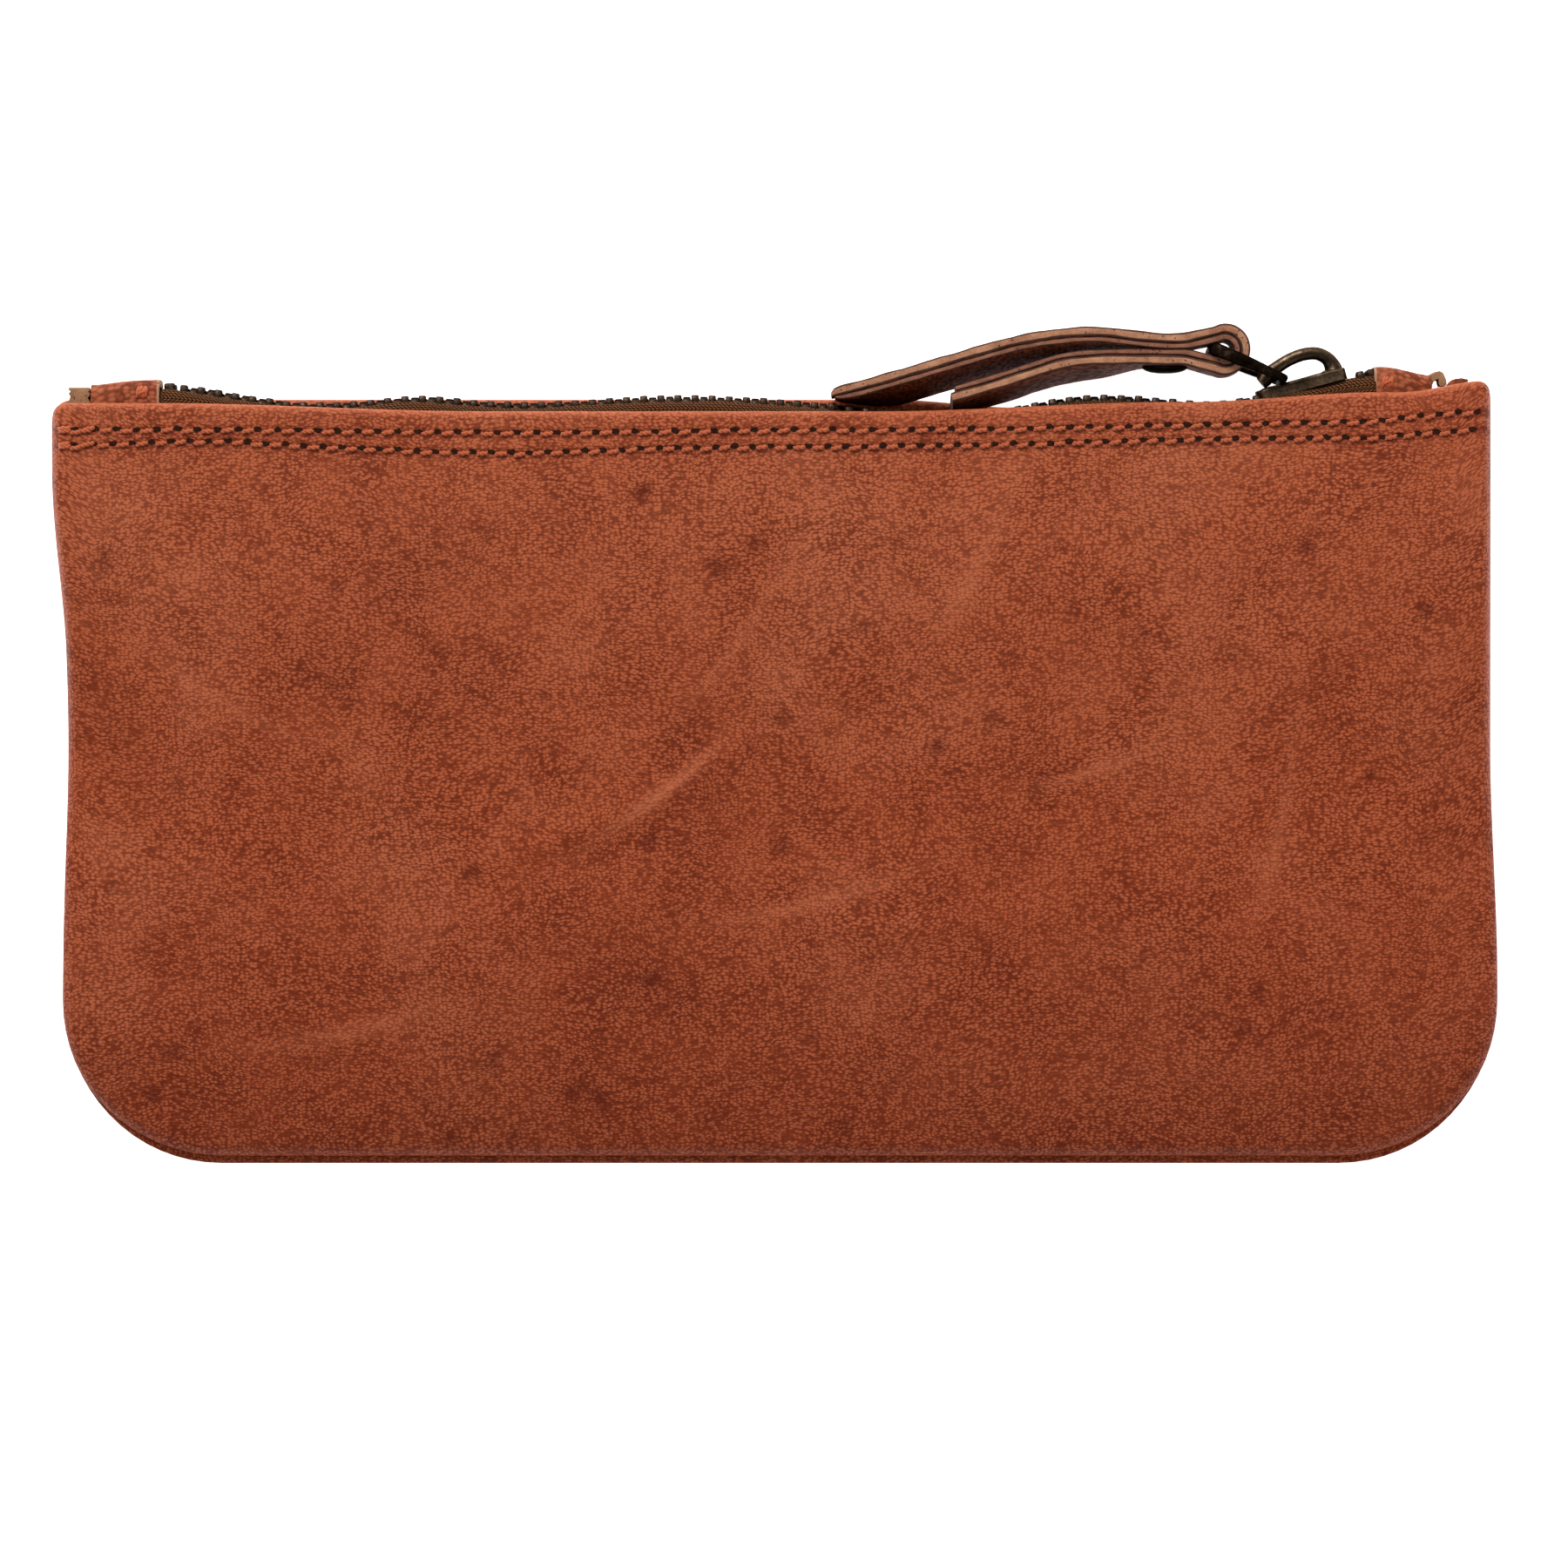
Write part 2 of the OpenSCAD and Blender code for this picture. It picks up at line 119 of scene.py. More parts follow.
# ---- Lines along the zip -----------------------------------------------------------


def front_edge(x):
    return (HALF_H - 0.8 + 1.25 * smooth((-45 - x) / 50) + 1.4 * smooth((x - 15) / 45)
            + 1.5 * smooth((x - 62) / 30) + 1.8 * smooth((x - 95) / 14))


def back_edge(x):
    return HALF_H + 1.5 - 1.2 * smooth((x - 18) / 18) + 2.6 * smooth((x - 60) / 50)


def upper_row(x):
    return (HALF_H - 3.8 - 0.5 * bump(x, -40, 30) + 1.1 * smooth((x - 20) / 70)
            + 1.6 * smooth((x - 85) / 24))


def lower_row(x):
    return (HALF_H - 6.4 + 0.8 * bump(x, -88, 16) - 1.0 * bump(x, -42, 22)
            + 1.3 * smooth((x - 10) / 75) + 1.3 * smooth((x - 88) / 22))


def chain_line(x):
    """Height of the zip's middle."""
    return (HALF_H - 0.5 + 3.0 * smooth((-70 - x) / 26) + 1.1 * bump(x, -55, 8)
            + 1.2 * bump(x, -14, 17) - 2.3 * bump(x, 25, 12) + 1.3 * bump(x, 49, 12)
            + 5.0 * smooth((x - 64) / 28))


# ---- Meshes ------------------------------------------------------------------------


class Shape:
    """Vertices in millimetres, with faces, UVs in millimetres, and a material number for each face."""

    def __init__(self):
        self.v, self.f, self.uv, self.m, self.extra = [], [], [], [], {}
        self.n = 0

    def add(self, verts, faces, uv=None, mat=0, **extra):
        verts = np.asarray(verts, float).reshape(-1, 3)
        uv = verts[:, :2] if uv is None else np.asarray(uv, float).reshape(-1, 2)
        self.v.append(verts)
        self.uv.append(uv)
        self.f += [tuple(int(i) + self.n for i in f) for f in faces]
        self.m += list(mat) if hasattr(mat, "__len__") else [mat] * len(faces)
        for k, values in extra.items():
            self.extra.setdefault(k, []).append(np.broadcast_to(values, len(verts)))
        self.n += len(verts)
        return self

    def build(self, name, materials, sharp=None):
        v = np.vstack(self.v)
        mesh = bpy.data.meshes.new(name)
        mesh.from_pydata((v * MM).tolist(), [], self.f)
        for m in materials:
            mesh.materials.append(m)
        mesh.polygons.foreach_set("material_index", np.array(self.m, np.int32))
        mesh.shade_smooth()
        uv = np.vstack(self.uv)
        loops = np.empty(len(mesh.loops), np.int32)
        mesh.loops.foreach_get("vertex_index", loops)
        mesh.uv_layers.new(name="flat").data.foreach_set("uv", uv[loops].ravel())
        for k, values in self.extra.items():
            mesh.attributes.new(k, "FLOAT", "POINT").data.foreach_set("value", np.concatenate(values))
        if sharp:
            mesh.set_sharp_from_angle(angle=math.radians(sharp))
        mesh.update()
        obj = bpy.data.objects.new(name, mesh)
        bpy.context.collection.objects.link(obj)
        return obj


def grid_faces(rows, cols, wrap=False, flip=False):
    """Quads of a grid of rows by cols points. wrap joins the last column to the first."""
    out = []
    for r in range(rows - 1):
        for c in range(cols if wrap else cols - 1):
            a, b = r * cols + c, r * cols + (c + 1) % cols
            quad = (a, b, b + cols, a + cols)
            out.append(quad[::-1] if flip else quad)
    return out


def lengths(points):
    """Distance along a line of points, from its first."""
    return np.concatenate([[0], np.cumsum(np.linalg.norm(np.diff(points, axis=0), axis=1))])


def loft(shape, rings, mat=0, wrap=True, caps=True, flip=False, cap_mat=None, **extra):
    """Skin through rings of points. UVs run along the rings in U and round them in V."""
    rings = np.asarray(rings, float)
    count, n = rings.shape[:2]
    along = lengths(rings.mean(1))
    around = lengths(rings[count // 2])
    uv = np.stack(np.meshgrid(along, around, indexing="ij"), -1)
    faces = grid_faces(count, n, wrap, flip)
    mats = [mat] * len(faces)
    if caps and wrap:
        first, last = list(range(n)), [(count - 1) * n + i for i in range(n)]
        faces += [tuple(last) if not flip else tuple(last[::-1]),
                  tuple(first[::-1]) if not flip else tuple(first)]
        mats += [mat if cap_mat is None else cap_mat] * 2
    return shape.add(rings, faces, uv, mats, **extra)


def rounded_section(w, h, r, steps=4):
    """Points round a rounded rectangle, counterclockwise."""
    out = []
    for cx, cy, start in ((w / 2 - r, h / 2 - r, 0), (r - w / 2, h / 2 - r, 90),
                          (r - w / 2, r - h / 2, 180), (w / 2 - r, r - h / 2, 270)):
        for i in range(steps + 1):
            a = math.radians(start + 90 * i / steps)
            out.append((cx + r * math.cos(a), cy + r * math.sin(a)))
    return np.array(out)


def spline(points, steps):
    """Smooth line through points."""
    p = np.asarray(points, float)
    p = np.vstack([2 * p[0] - p[1], p, 2 * p[-1] - p[-2]])
    out = []
    for i in range(1, len(p) - 2):
        a, b, c, d = p[i - 1:i + 3]
        for t in np.arange(steps) / steps:
            out.append(0.5 * (2 * b + (c - a) * t + (2 * a - 5 * b + 4 * c - d) * t**2
                              + (3 * b - a - 3 * c + d) * t**3))
    out.append(p[-2])
    return np.array(out)


def tangents(line):
    t = np.gradient(line, axis=0)
    return t / np.linalg.norm(t, axis=1)[:, None]


# ---- Materials ---------------------------------------------------------------------


class Tree:
    """Short ways to add shader nodes."""

    def __init__(self, name):
        self.mat = bpy.data.materials.new(name)
        self.mat.use_nodes = True
        self.nt = self.mat.node_tree
        self.nt.nodes.clear()
        self.out = self.nt.nodes.new("ShaderNodeOutputMaterial")
        self.bsdf = self.nt.nodes.new("ShaderNodeBsdfPrincipled")
        self.nt.links.new(self.bsdf.outputs[0], self.out.inputs[0])

    def put(self, socket, value):
        if isinstance(value, bpy.types.NodeSocket):
            self.nt.links.new(value, socket)
        elif value is not None:
            socket.default_value = value

    def node(self, kind, inputs=None, out=0, **props):
        n = self.nt.nodes.new("ShaderNode" + kind)
        for k, v in props.items():
            setattr(n, k, v)
        for k, v in (inputs or {}).items():
            self.put(n.inputs[k], v)
        return n.outputs[out]

    def times(self, *values):
        return self.maths("MULTIPLY", *values)

    def plus(self, *values):
        return self.maths("ADD", *values)

    def maths(self, op, a, b=None, c=None, clamp=False):
        return self.node("Math", {0: a, 1: b, 2: c}, operation=op, use_clamp=clamp)

    def uv(self):
        return self.node("UVMap", uv_map="flat")

    def scaled(self, vector, x, y, z=1.0, shift=(0, 0, 0)):
        return self.node("Mapping", {"Vector": vector, "Scale": (x, y, z), "Location": shift})

    def noise(self, vector, scale, detail=3.0, rough=0.55, distortion=0.0, out=0):
        return self.node("TexNoise", {"Vector": vector, "Scale": scale, "Detail": detail,
                                      "Roughness": rough, "Distortion": distortion}, out)

    def cells(self, vector, scale, feature="F1", jitter=1.0, out=0, **more):
        inputs = {"Vector": vector, "Scale": scale, "Randomness": jitter}
        inputs.update(more)
        return self.node("TexVoronoi", inputs, out, feature=feature)

    def span(self, value, low, high, to_low=0.0, to_high=1.0):
        return self.node("MapRange", {0: value, 1: low, 2: high, 3: to_low, 4: to_high}, clamp=True)

    def ramp(self, value, stops):
        n = self.nt.nodes.new("ShaderNodeValToRGB")
        self.put(n.inputs[0], value)
        e = n.color_ramp.elements
        while len(e) < len(stops):
            e.new(0.5)
        for el, (at, colour) in zip(e, stops):
            el.position, el.color = at, (*colour, 1)
        return n.outputs[0]

    def mix(self, factor, a, b, blend="MIX"):
        n = self.nt.nodes.new("ShaderNodeMix")
        n.data_type, n.blend_type = "RGBA", blend
        self.put(n.inputs[0], factor)
        for socket, v in ((n.inputs[6], a), (n.inputs[7], b)):
            self.put(socket, (*v, 1) if isinstance(v, tuple) else v)
        return n.outputs[2]

    def warp(self, vector, scale, amount):
        """vector moved about by a noise, by up to half of amount."""
        shift = self.node("VectorMath", {0: self.noise(vector, scale, 2.0, out=1), 1: (0.5, 0.5, 0.5)},
                          operation="SUBTRACT")
        n = self.nt.nodes.new("ShaderNodeVectorMath")
        n.operation = "MULTIPLY_ADD"
        self.put(n.inputs[0], shift)
        n.inputs[1].default_value = (amount, amount, amount)
        self.put(n.inputs[2], vector)
        return n.outputs[0]

    def bumped(self, height, distance, strength=1.0, normal=None):
        return self.node("Bump", {"Height": height, "Distance": distance * MM, "Strength": strength,
                                  "Normal": normal})

    def finish(self, colour=None, rough=None, normal=None, **sockets):
        self.put(self.bsdf.inputs["Base Color"], (*colour, 1) if isinstance(colour, tuple) else colour)
        self.put(self.bsdf.inputs["Roughness"], rough)
        self.put(self.bsdf.inputs["Normal"], normal)
        for k, v in sockets.items():
            self.bsdf.inputs[k.replace("_", " ")].default_value = v
        return self.mat


def leather(name, dark, mid, light, pit, grain=2.35, depth=0.1, wall=False, seed=0.0, shine=0.10):
    """Grained, waxed leather. Colours are linear. The wall also has its creased edge and sewn rows."""
    t = Tree(name)
    p = t.scaled(t.uv(), 1, 1, 1, (seed, seed * 0.7, seed))
    moved = t.warp(p, 0.12, 5.0)
    cloud = t.noise(moved, 0.024, 3.0, 0.58, 0.3)
    patch = t.noise(moved, 0.085, 4.0, 0.6, 0.5)
    # Grain: small pebbles, wider than they are tall, deepest in patches.
    g = t.warp(t.scaled(t.warp(p, 0.05, 5.0), 0.64, 1.0), 0.7, 0.35)
    cell = t.cells(g, grain, "F1", 0.72)
    wrinkle = t.noise(t.scaled(p, 0.8, 1.25), grain * 0.55, 4.0, 0.7, 0.3)
    where = t.span(patch, 0.36, 0.62, 1.0, 0.72)
    pits = t.times(t.span(cell, 0.34, 0.68), where)
    tone = t.plus(t.times(cloud, 0.70), t.times(patch, 0.25))
    colour = t.ramp(t.span(tone, 0.24, 0.70), [(0.0, dark), (0.45, mid), (1.0, light)])
    if wall:
        # Painted light: the wall is painted darker towards the bottom and lighter towards the top, as if lit
        # from above. Its colour also turns redder towards the right.
        along = t.node("SeparateXYZ", {0: p}, 0)
        colour = t.mix(t.span(along, 20, 112, 0.0, 0.45), colour, (0.43, 0.070, 0.019))
        height = t.node("SeparateXYZ", {0: p}, 1)
        colour = t.mix(t.span(height, -114, -64, 0.8, 0.0), colour, dark)
        colour = t.mix(t.span(height, -60, -2, 0.0, 0.36), colour, light)
    colour = t.mix(t.span(cell, 0.50, 0.16, 0.0, 0.56), colour, light)
    colour = t.mix(t.times(pits, 0.8), colour, pit)
    colour = t.mix(t.span(wrinkle, 0.52, 0.74, 0.0, 0.24), colour, light)
    colour = t.mix(t.span(wrinkle, 0.47, 0.28, 0.0, 0.16), colour, pit)
    # Burnt spots, a few of them.
    spot = t.cells(moved, 0.1, "F1")
    colour = t.mix(t.times(t.span(spot, 0.22, 0.04), t.span(patch, 0.60, 0.44, 0.0, 0.7)), colour, pit)
    height = t.plus(t.times(t.maths("SUBTRACT", 1.0, pits), 0.9), t.times(wrinkle, 0.9))
    rough = t.span(t.plus(pits, t.times(patch, 0.5)), 0.0, 1.2, 0.46, 0.66)
    if wall:
        # Puckers along each row of stitches: a dip in the bump, painted darker as painted shade in the
        # groove.
        pucker_dip_and_shade = None
        for gap in ("upper_gap", "lower_gap"):
            away = t.maths("ABSOLUTE", t.node("Attribute", out=2, attribute_name=gap))
            dip = t.span(away, 1.0, 0.2)
            pucker_dip_and_shade = dip if pucker_dip_and_shade is None else t.maths("MAXIMUM", pucker_dip_and_shade, dip)
        colour = t.mix(t.times(pucker_dip_and_shade, 0.4), colour, pit)
        # The folded top edge is painted lighter: partly from rubbing, partly a painted highlight where the
        # fold catches the light.
        edge = t.node("Attribute", out=2, attribute_name="edge_gap")
        worn_and_highlight = t.times(t.span(edge, 1.0, 0.2), t.span(wrinkle, 0.35, 0.6, 0.2, 0.75))
        # The creases are painted lighter too: painted highlights along them.
        ridge = t.times(t.node("Attribute", out=2, attribute_name="rubbed"),
                        t.span(wrinkle, 0.36, 0.58, 0.25, 1.0))
        colour = t.mix(t.maths("MAXIMUM", worn_and_highlight, ridge, clamp=True), colour, light)
        height = t.maths("SUBTRACT", height, t.times(pucker_dip_and_shade, 1.7))
    normal = t.bumped(height, depth, 0.9)
    return t.finish(colour, rough, normal, Specular_IOR_Level=shine)


def raw_edge(name, dark, light, pore):
    """Cut edge or flesh side of leather: fibres, with dark pores."""
    t = Tree(name)
    p = t.uv()
    fibre = t.noise(t.scaled(p, 1.6, 4.0), 1.9, 5.0, 0.75, 1.2)
    blotch = t.noise(p, 0.35, 3.0, 0.6, 0.5)
    colour = t.ramp(t.plus(t.times(fibre, 0.6), t.times(blotch, 0.4)),
                    [(0.36, dark), (0.60, light)])
    holes = t.cells(t.warp(p, 2.0, 0.6), 1.15)
    colour = t.mix(t.span(holes, 0.2, 0.1, 0.0, 0.8), colour, pore)
    # The two arrises are burnished dark.
    rim = t.maths("ABSOLUTE", t.node("Attribute", out=2, attribute_name="across"))
    rim = t.span(t.plus(rim, t.times(fibre, 0.3)), 0.66, 0.80)
    colour = t.mix(t.times(rim, 0.9), colour, pore)
    height = t.maths("SUBTRACT", fibre, t.span(holes, 0.24, 0.1, 0.0, 0.8))
    return t.finish(colour, 0.82, t.bumped(height, 0.16), Specular_IOR_Level=0.2, Sheen_Weight=0.1)


def metal(name, base, worn_and_highlight, dirt, rough=0.36, scale=1.0, wear_and_glint=1.0):
    """Antique plated metal: its convex edges are painted bright, partly from rubbing and partly as painted
    highlights, over a random mottle of dirt.
    """
    t = Tree(name)
    p = t.node("TexCoord", out=3)
    grime = t.noise(p, 900 * scale, 4.0, 0.65)
    speck = t.noise(p, 3200 * scale, 3.0, 0.6)
    colour = t.ramp(grime, [(0.36, dirt), (0.58, base), (0.9, worn_and_highlight)])
    # Convex edges take the second colour: partly rubbing, partly painted highlights.
    edges = t.span(t.node("NewGeometry", out=7), 0.515, 0.56)
    edges = t.times(edges, t.span(speck, 0.3, 0.6, 0.3 * wear_and_glint, wear_and_glint))
    colour = t.mix(edges, colour, worn_and_highlight)
    normal = t.bumped(t.plus(speck, grime), 0.05, 0.6)
    return t.finish(colour, t.span(grime, 0.3, 0.7, rough + 0.16, rough - 0.06), normal, Metallic=0.95,
                    Specular_Tint=(0.16, 0.12, 0.08, 1))


def thread_material():
    t = Tree("waxed_thread")
    p = t.uv()
    fibre = t.noise(t.scaled(p, 1.5, 9.0), 2.5, 3.0, 0.6)
    blotch = t.noise(p, 0.4, 2.0)
    colour = t.ramp(t.plus(t.times(fibre, 0.5), t.times(blotch, 0.5)),
                    [(0.34, (0.38, 0.060, 0.014)), (0.52, (0.64, 0.135, 0.034)),
                     (0.68, (0.80, 0.25, 0.08))])
    return t.finish(colour, 0.6, t.bumped(fibre, 0.07), Sheen_Weight=0.25, Specular_IOR_Level=0.3)


def tape_material():
    """Herringbone weave of the zip tape."""
    t = Tree("woven_zip_tape")
    p = t.warp(t.uv(), 1.5, 0.12)
    x, y = t.node("SeparateXYZ", {0: p}, 0), t.node("SeparateXYZ", {0: p}, 1)
    turn = t.maths("PINGPONG", y, 1.3)
    rib = t.maths("SINE", t.times(t.plus(x, turn), 2 * math.pi / 0.62))
    yarn = t.maths("SINE", t.times(y, 2 * math.pi / 0.42))
    weave = t.plus(t.times(rib, 0.6), t.times(yarn, 0.4))
    fuzz = t.noise(t.uv(), 5.0, 3.0, 0.7)
    tone = t.plus(t.times(weave, 0.34), fuzz)
    colour = t.ramp(t.span(tone, 0.28, 0.80), [(0.0, (0.012, 0.005, 0.002)), (0.5, (0.088, 0.030, 0.010)),
                                              (1.0, (0.25, 0.10, 0.04))])
    return t.finish(colour, 0.9, t.bumped(tone, 0.18), Specular_IOR_Level=0.08)


def cloth_material():
    """Plain woven cotton of the lining."""
    t = Tree("lining_cotton")
    p = t.warp(t.uv(), 0.8, 0.2)
    x, y = t.node("SeparateXYZ", {0: p}, 0), t.node("SeparateXYZ", {0: p}, 1)
    warp = t.maths("SINE", t.times(x, 2 * math.pi / 0.7))
    weft = t.maths("SINE", t.times(y, 2 * math.pi / 0.7))
    weave = t.times(warp, weft)
    slub = t.noise(t.scaled(p, 0.25, 3.0), 1.0, 3.0, 0.6)
    tone = t.plus(t.times(weave, 0.2), slub)
    colour = t.ramp(tone, [(0.2, (0.22, 0.155, 0.09)), (0.5, (0.40, 0.30, 0.185)),
                           (0.85, (0.52, 0.42, 0.28))])
    return t.finish(colour, 0.9, t.bumped(tone, 0.14), Sheen_Weight=0.25, Specular_IOR_Level=0.2)


def hole_shade_material():
    t = Tree("needle_holes")
    p = t.uv()
    # Near black: painted shade for the inside of a needle hole.
    colour = t.ramp(t.noise(p, 3.0, 2.0), [(0.35, (0.012, 0.004, 0.002)), (0.7, (0.05, 0.014, 0.006))])
    return t.finish(colour, 0.95, t.bumped(t.noise(p, 6.0), 0.1), Specular_IOR_Level=0.1)


COGNAC = ((0.242, 0.037, 0.010), (0.392, 0.072, 0.022), (0.525, 0.142, 0.061), (0.105, 0.011, 0.003))
WALL = leather("cognac_leather", *COGNAC, wall=True)
BACK_WALL = leather("cognac_leather_back", *COGNAC, wall=True, seed=37.0)
TAB = leather("tab_leather", (0.25, 0.052, 0.019), (0.34, 0.078, 0.030), (0.46, 0.14, 0.062),
              (0.11, 0.020, 0.008), grain=1.5, seed=11.0)
STRAP = leather("strap_leather", (0.12, 0.026, 0.010), (0.21, 0.048, 0.019), (0.34, 0.095, 0.042),
                (0.012, 0.004, 0.002), grain=1.2, depth=0.2, seed=5.0, shine=0.05)
PLY = leather("strap_inner_ply", (0.085, 0.018, 0.006), (0.16, 0.034, 0.012), (0.25, 0.062, 0.024),
              (0.02, 0.006, 0.003), grain=1.9, seed=19.0, shine=0.02)
CUT = raw_edge("strap_cut_edge", (0.24, 0.082, 0.038), (0.68, 0.33, 0.185), (0.030, 0.009, 0.005))
PLY_CUT = raw_edge("inner_ply_cut_edge", (0.15, 0.048, 0.026), (0.42, 0.175, 0.10), (0.022, 0.007, 0.004))
RAW = raw_edge("raw_flesh_leather", (0.24, 0.105, 0.048), (0.55, 0.30, 0.155), (0.07, 0.025, 0.012))
TAB_CUT = raw_edge("tab_cut_edge", (0.30, 0.12, 0.06), (0.58, 0.33, 0.2), (0.08, 0.03, 0.015))
# Metal colours: base, then the colour painted on convex edges (rubbing and painted highlights), then dirt.
TOOTH = metal("antique_brass_teeth", (0.017, 0.010, 0.007), (0.12, 0.080, 0.055), (0.004, 0.002, 0.002),
              0.42, 1.0,
              0.45)
SLIDER = metal("antique_brass_slider", (0.017, 0.010, 0.006), (0.25, 0.165, 0.10), (0.004, 0.002, 0.001),
               0.34, 0.6,
               0.7)
RIVET = metal("dark_brass_rivet", (0.05, 0.04, 0.034), (0.26, 0.22, 0.18), (0.012, 0.009, 0.007), 0.36, 0.6)
THREAD = thread_material()
TAPE = tape_material()
CLOTH = cloth_material()
HOLE_SHADE = hole_shade_material()


# ---- Walls -------------------------------------------------------------------------


def rolled(d, r):
    """Height of a rolled edge of that radius at distance d from it."""
    return r * np.sqrt(np.clip(1 - (1 - np.clip(d / r, 0, 1)) ** 2, 0, 1))


def seam_distance(x, y):
    """Distance in from the seam of the plain outline."""
    side = HALF_W - np.abs(x)
    low = y - BOTTOM
    inside = CORNER - np.hypot(np.maximum(CORNER - side, 0), np.maximum(CORNER - low, 0))
    return np.where((side < CORNER) & (low < CORNER), inside, np.minimum(side, low))


def crease(x, y, at, angle, long, wide):
    """1 along a slightly bent line through at, fading to 0 past its length and width."""
    a = math.radians(angle)
    u = (x - at[0]) * math.cos(a) + (y - at[1]) * math.sin(a)
    v = -(x - at[0]) * math.sin(a) + (y - at[1]) * math.cos(a)
    return bump(u, 0, long) * bump(v - u * u * 0.004, 0, wide)


# Creases painted lighter as painted highlights: middle, angle, length, width and strength of each.
CREASE_HIGHLIGHTS = (((-18, -1.5), 38, 11, 1.0, 1.0), ((48, 2), 19, 9, 0.9, 0.6), ((6, -18), 15, 15, 1.1, 0.55),
          ((-66, -38), 12, 15, 1.1, 0.5), ((30, 33), 62, 12, 1.1, 0.5), ((-84, 12), -28, 12, 1.0, 0.45),
          ((-6, 22), 55, 12, 1.0, 0.5), ((76, -8), 78, 13, 1.1, 0.45))


def front_height(x, y, d):
    h = rolled(d, 2.1) + 3.2 * (1 - np.exp(-np.maximum(d - 0.3, 0) / 11)) + 1.1 * smooth(d / 45)
    side = np.clip((HALF_W - np.abs(x)) / 3.2, 0, 1)
    lift = smooth((y + 12) / 54) * (1 - (1 - side) ** 4)
    h = h + (FRONT_Z - 0.35 - SEAM_Z - 0.15 - h) * lift
    soft = smooth((d - 1) / 12)
    dents = 0.26 * waves(x, y, 26, 3) + 0.12 * waves(x, y, 11, 4)
    dents = dents * (1 - 0.55 * smooth((y - 30) / 18))
    dents = dents + 0.5 * crease(x, y, (-23, -4), 24, 20, 2.6) - 0.4 * crease(x, y, (-22, -9), 22, 18, 4.0)
    dents = dents + 0.35 * crease(x, y, (20, -22), 4, 26, 2.4) + 0.3 * crease(x, y, (-62, 18), -38, 22, 3.4)
    dents = (dents - 0.35 * crease(x, y, (62, -37), -12, 22, 5.0)
             + 0.25 * crease(x, y, (78, 20), 70, 26, 5.0))
    return SEAM_Z + 0.15 + h + soft * dents


def back_height(x, y, d):
    h = rolled(d, 1.9) + 2.35 * (1 - np.exp(-np.maximum(d - 0.2, 0) / 2.6))
    return SEAM_Z - 0.15 - h * (SEAM_Z - 0.15) / 4.25


def side_warp(x, y):
    """The side seams bow in a little by the middle, and out by the top left corner."""
    left = -0.2 - 0.9 * bump(y, 6, 22) + 1.6 * smooth((y - 20) / 28)
    right = -0.1 - 1.1 * smooth((y + 30) / 36)
    return x * (1 + np.where(x < 0, left, right) / HALF_W * np.clip(np.abs(x) / HALF_W, 0, 1) ** 3)


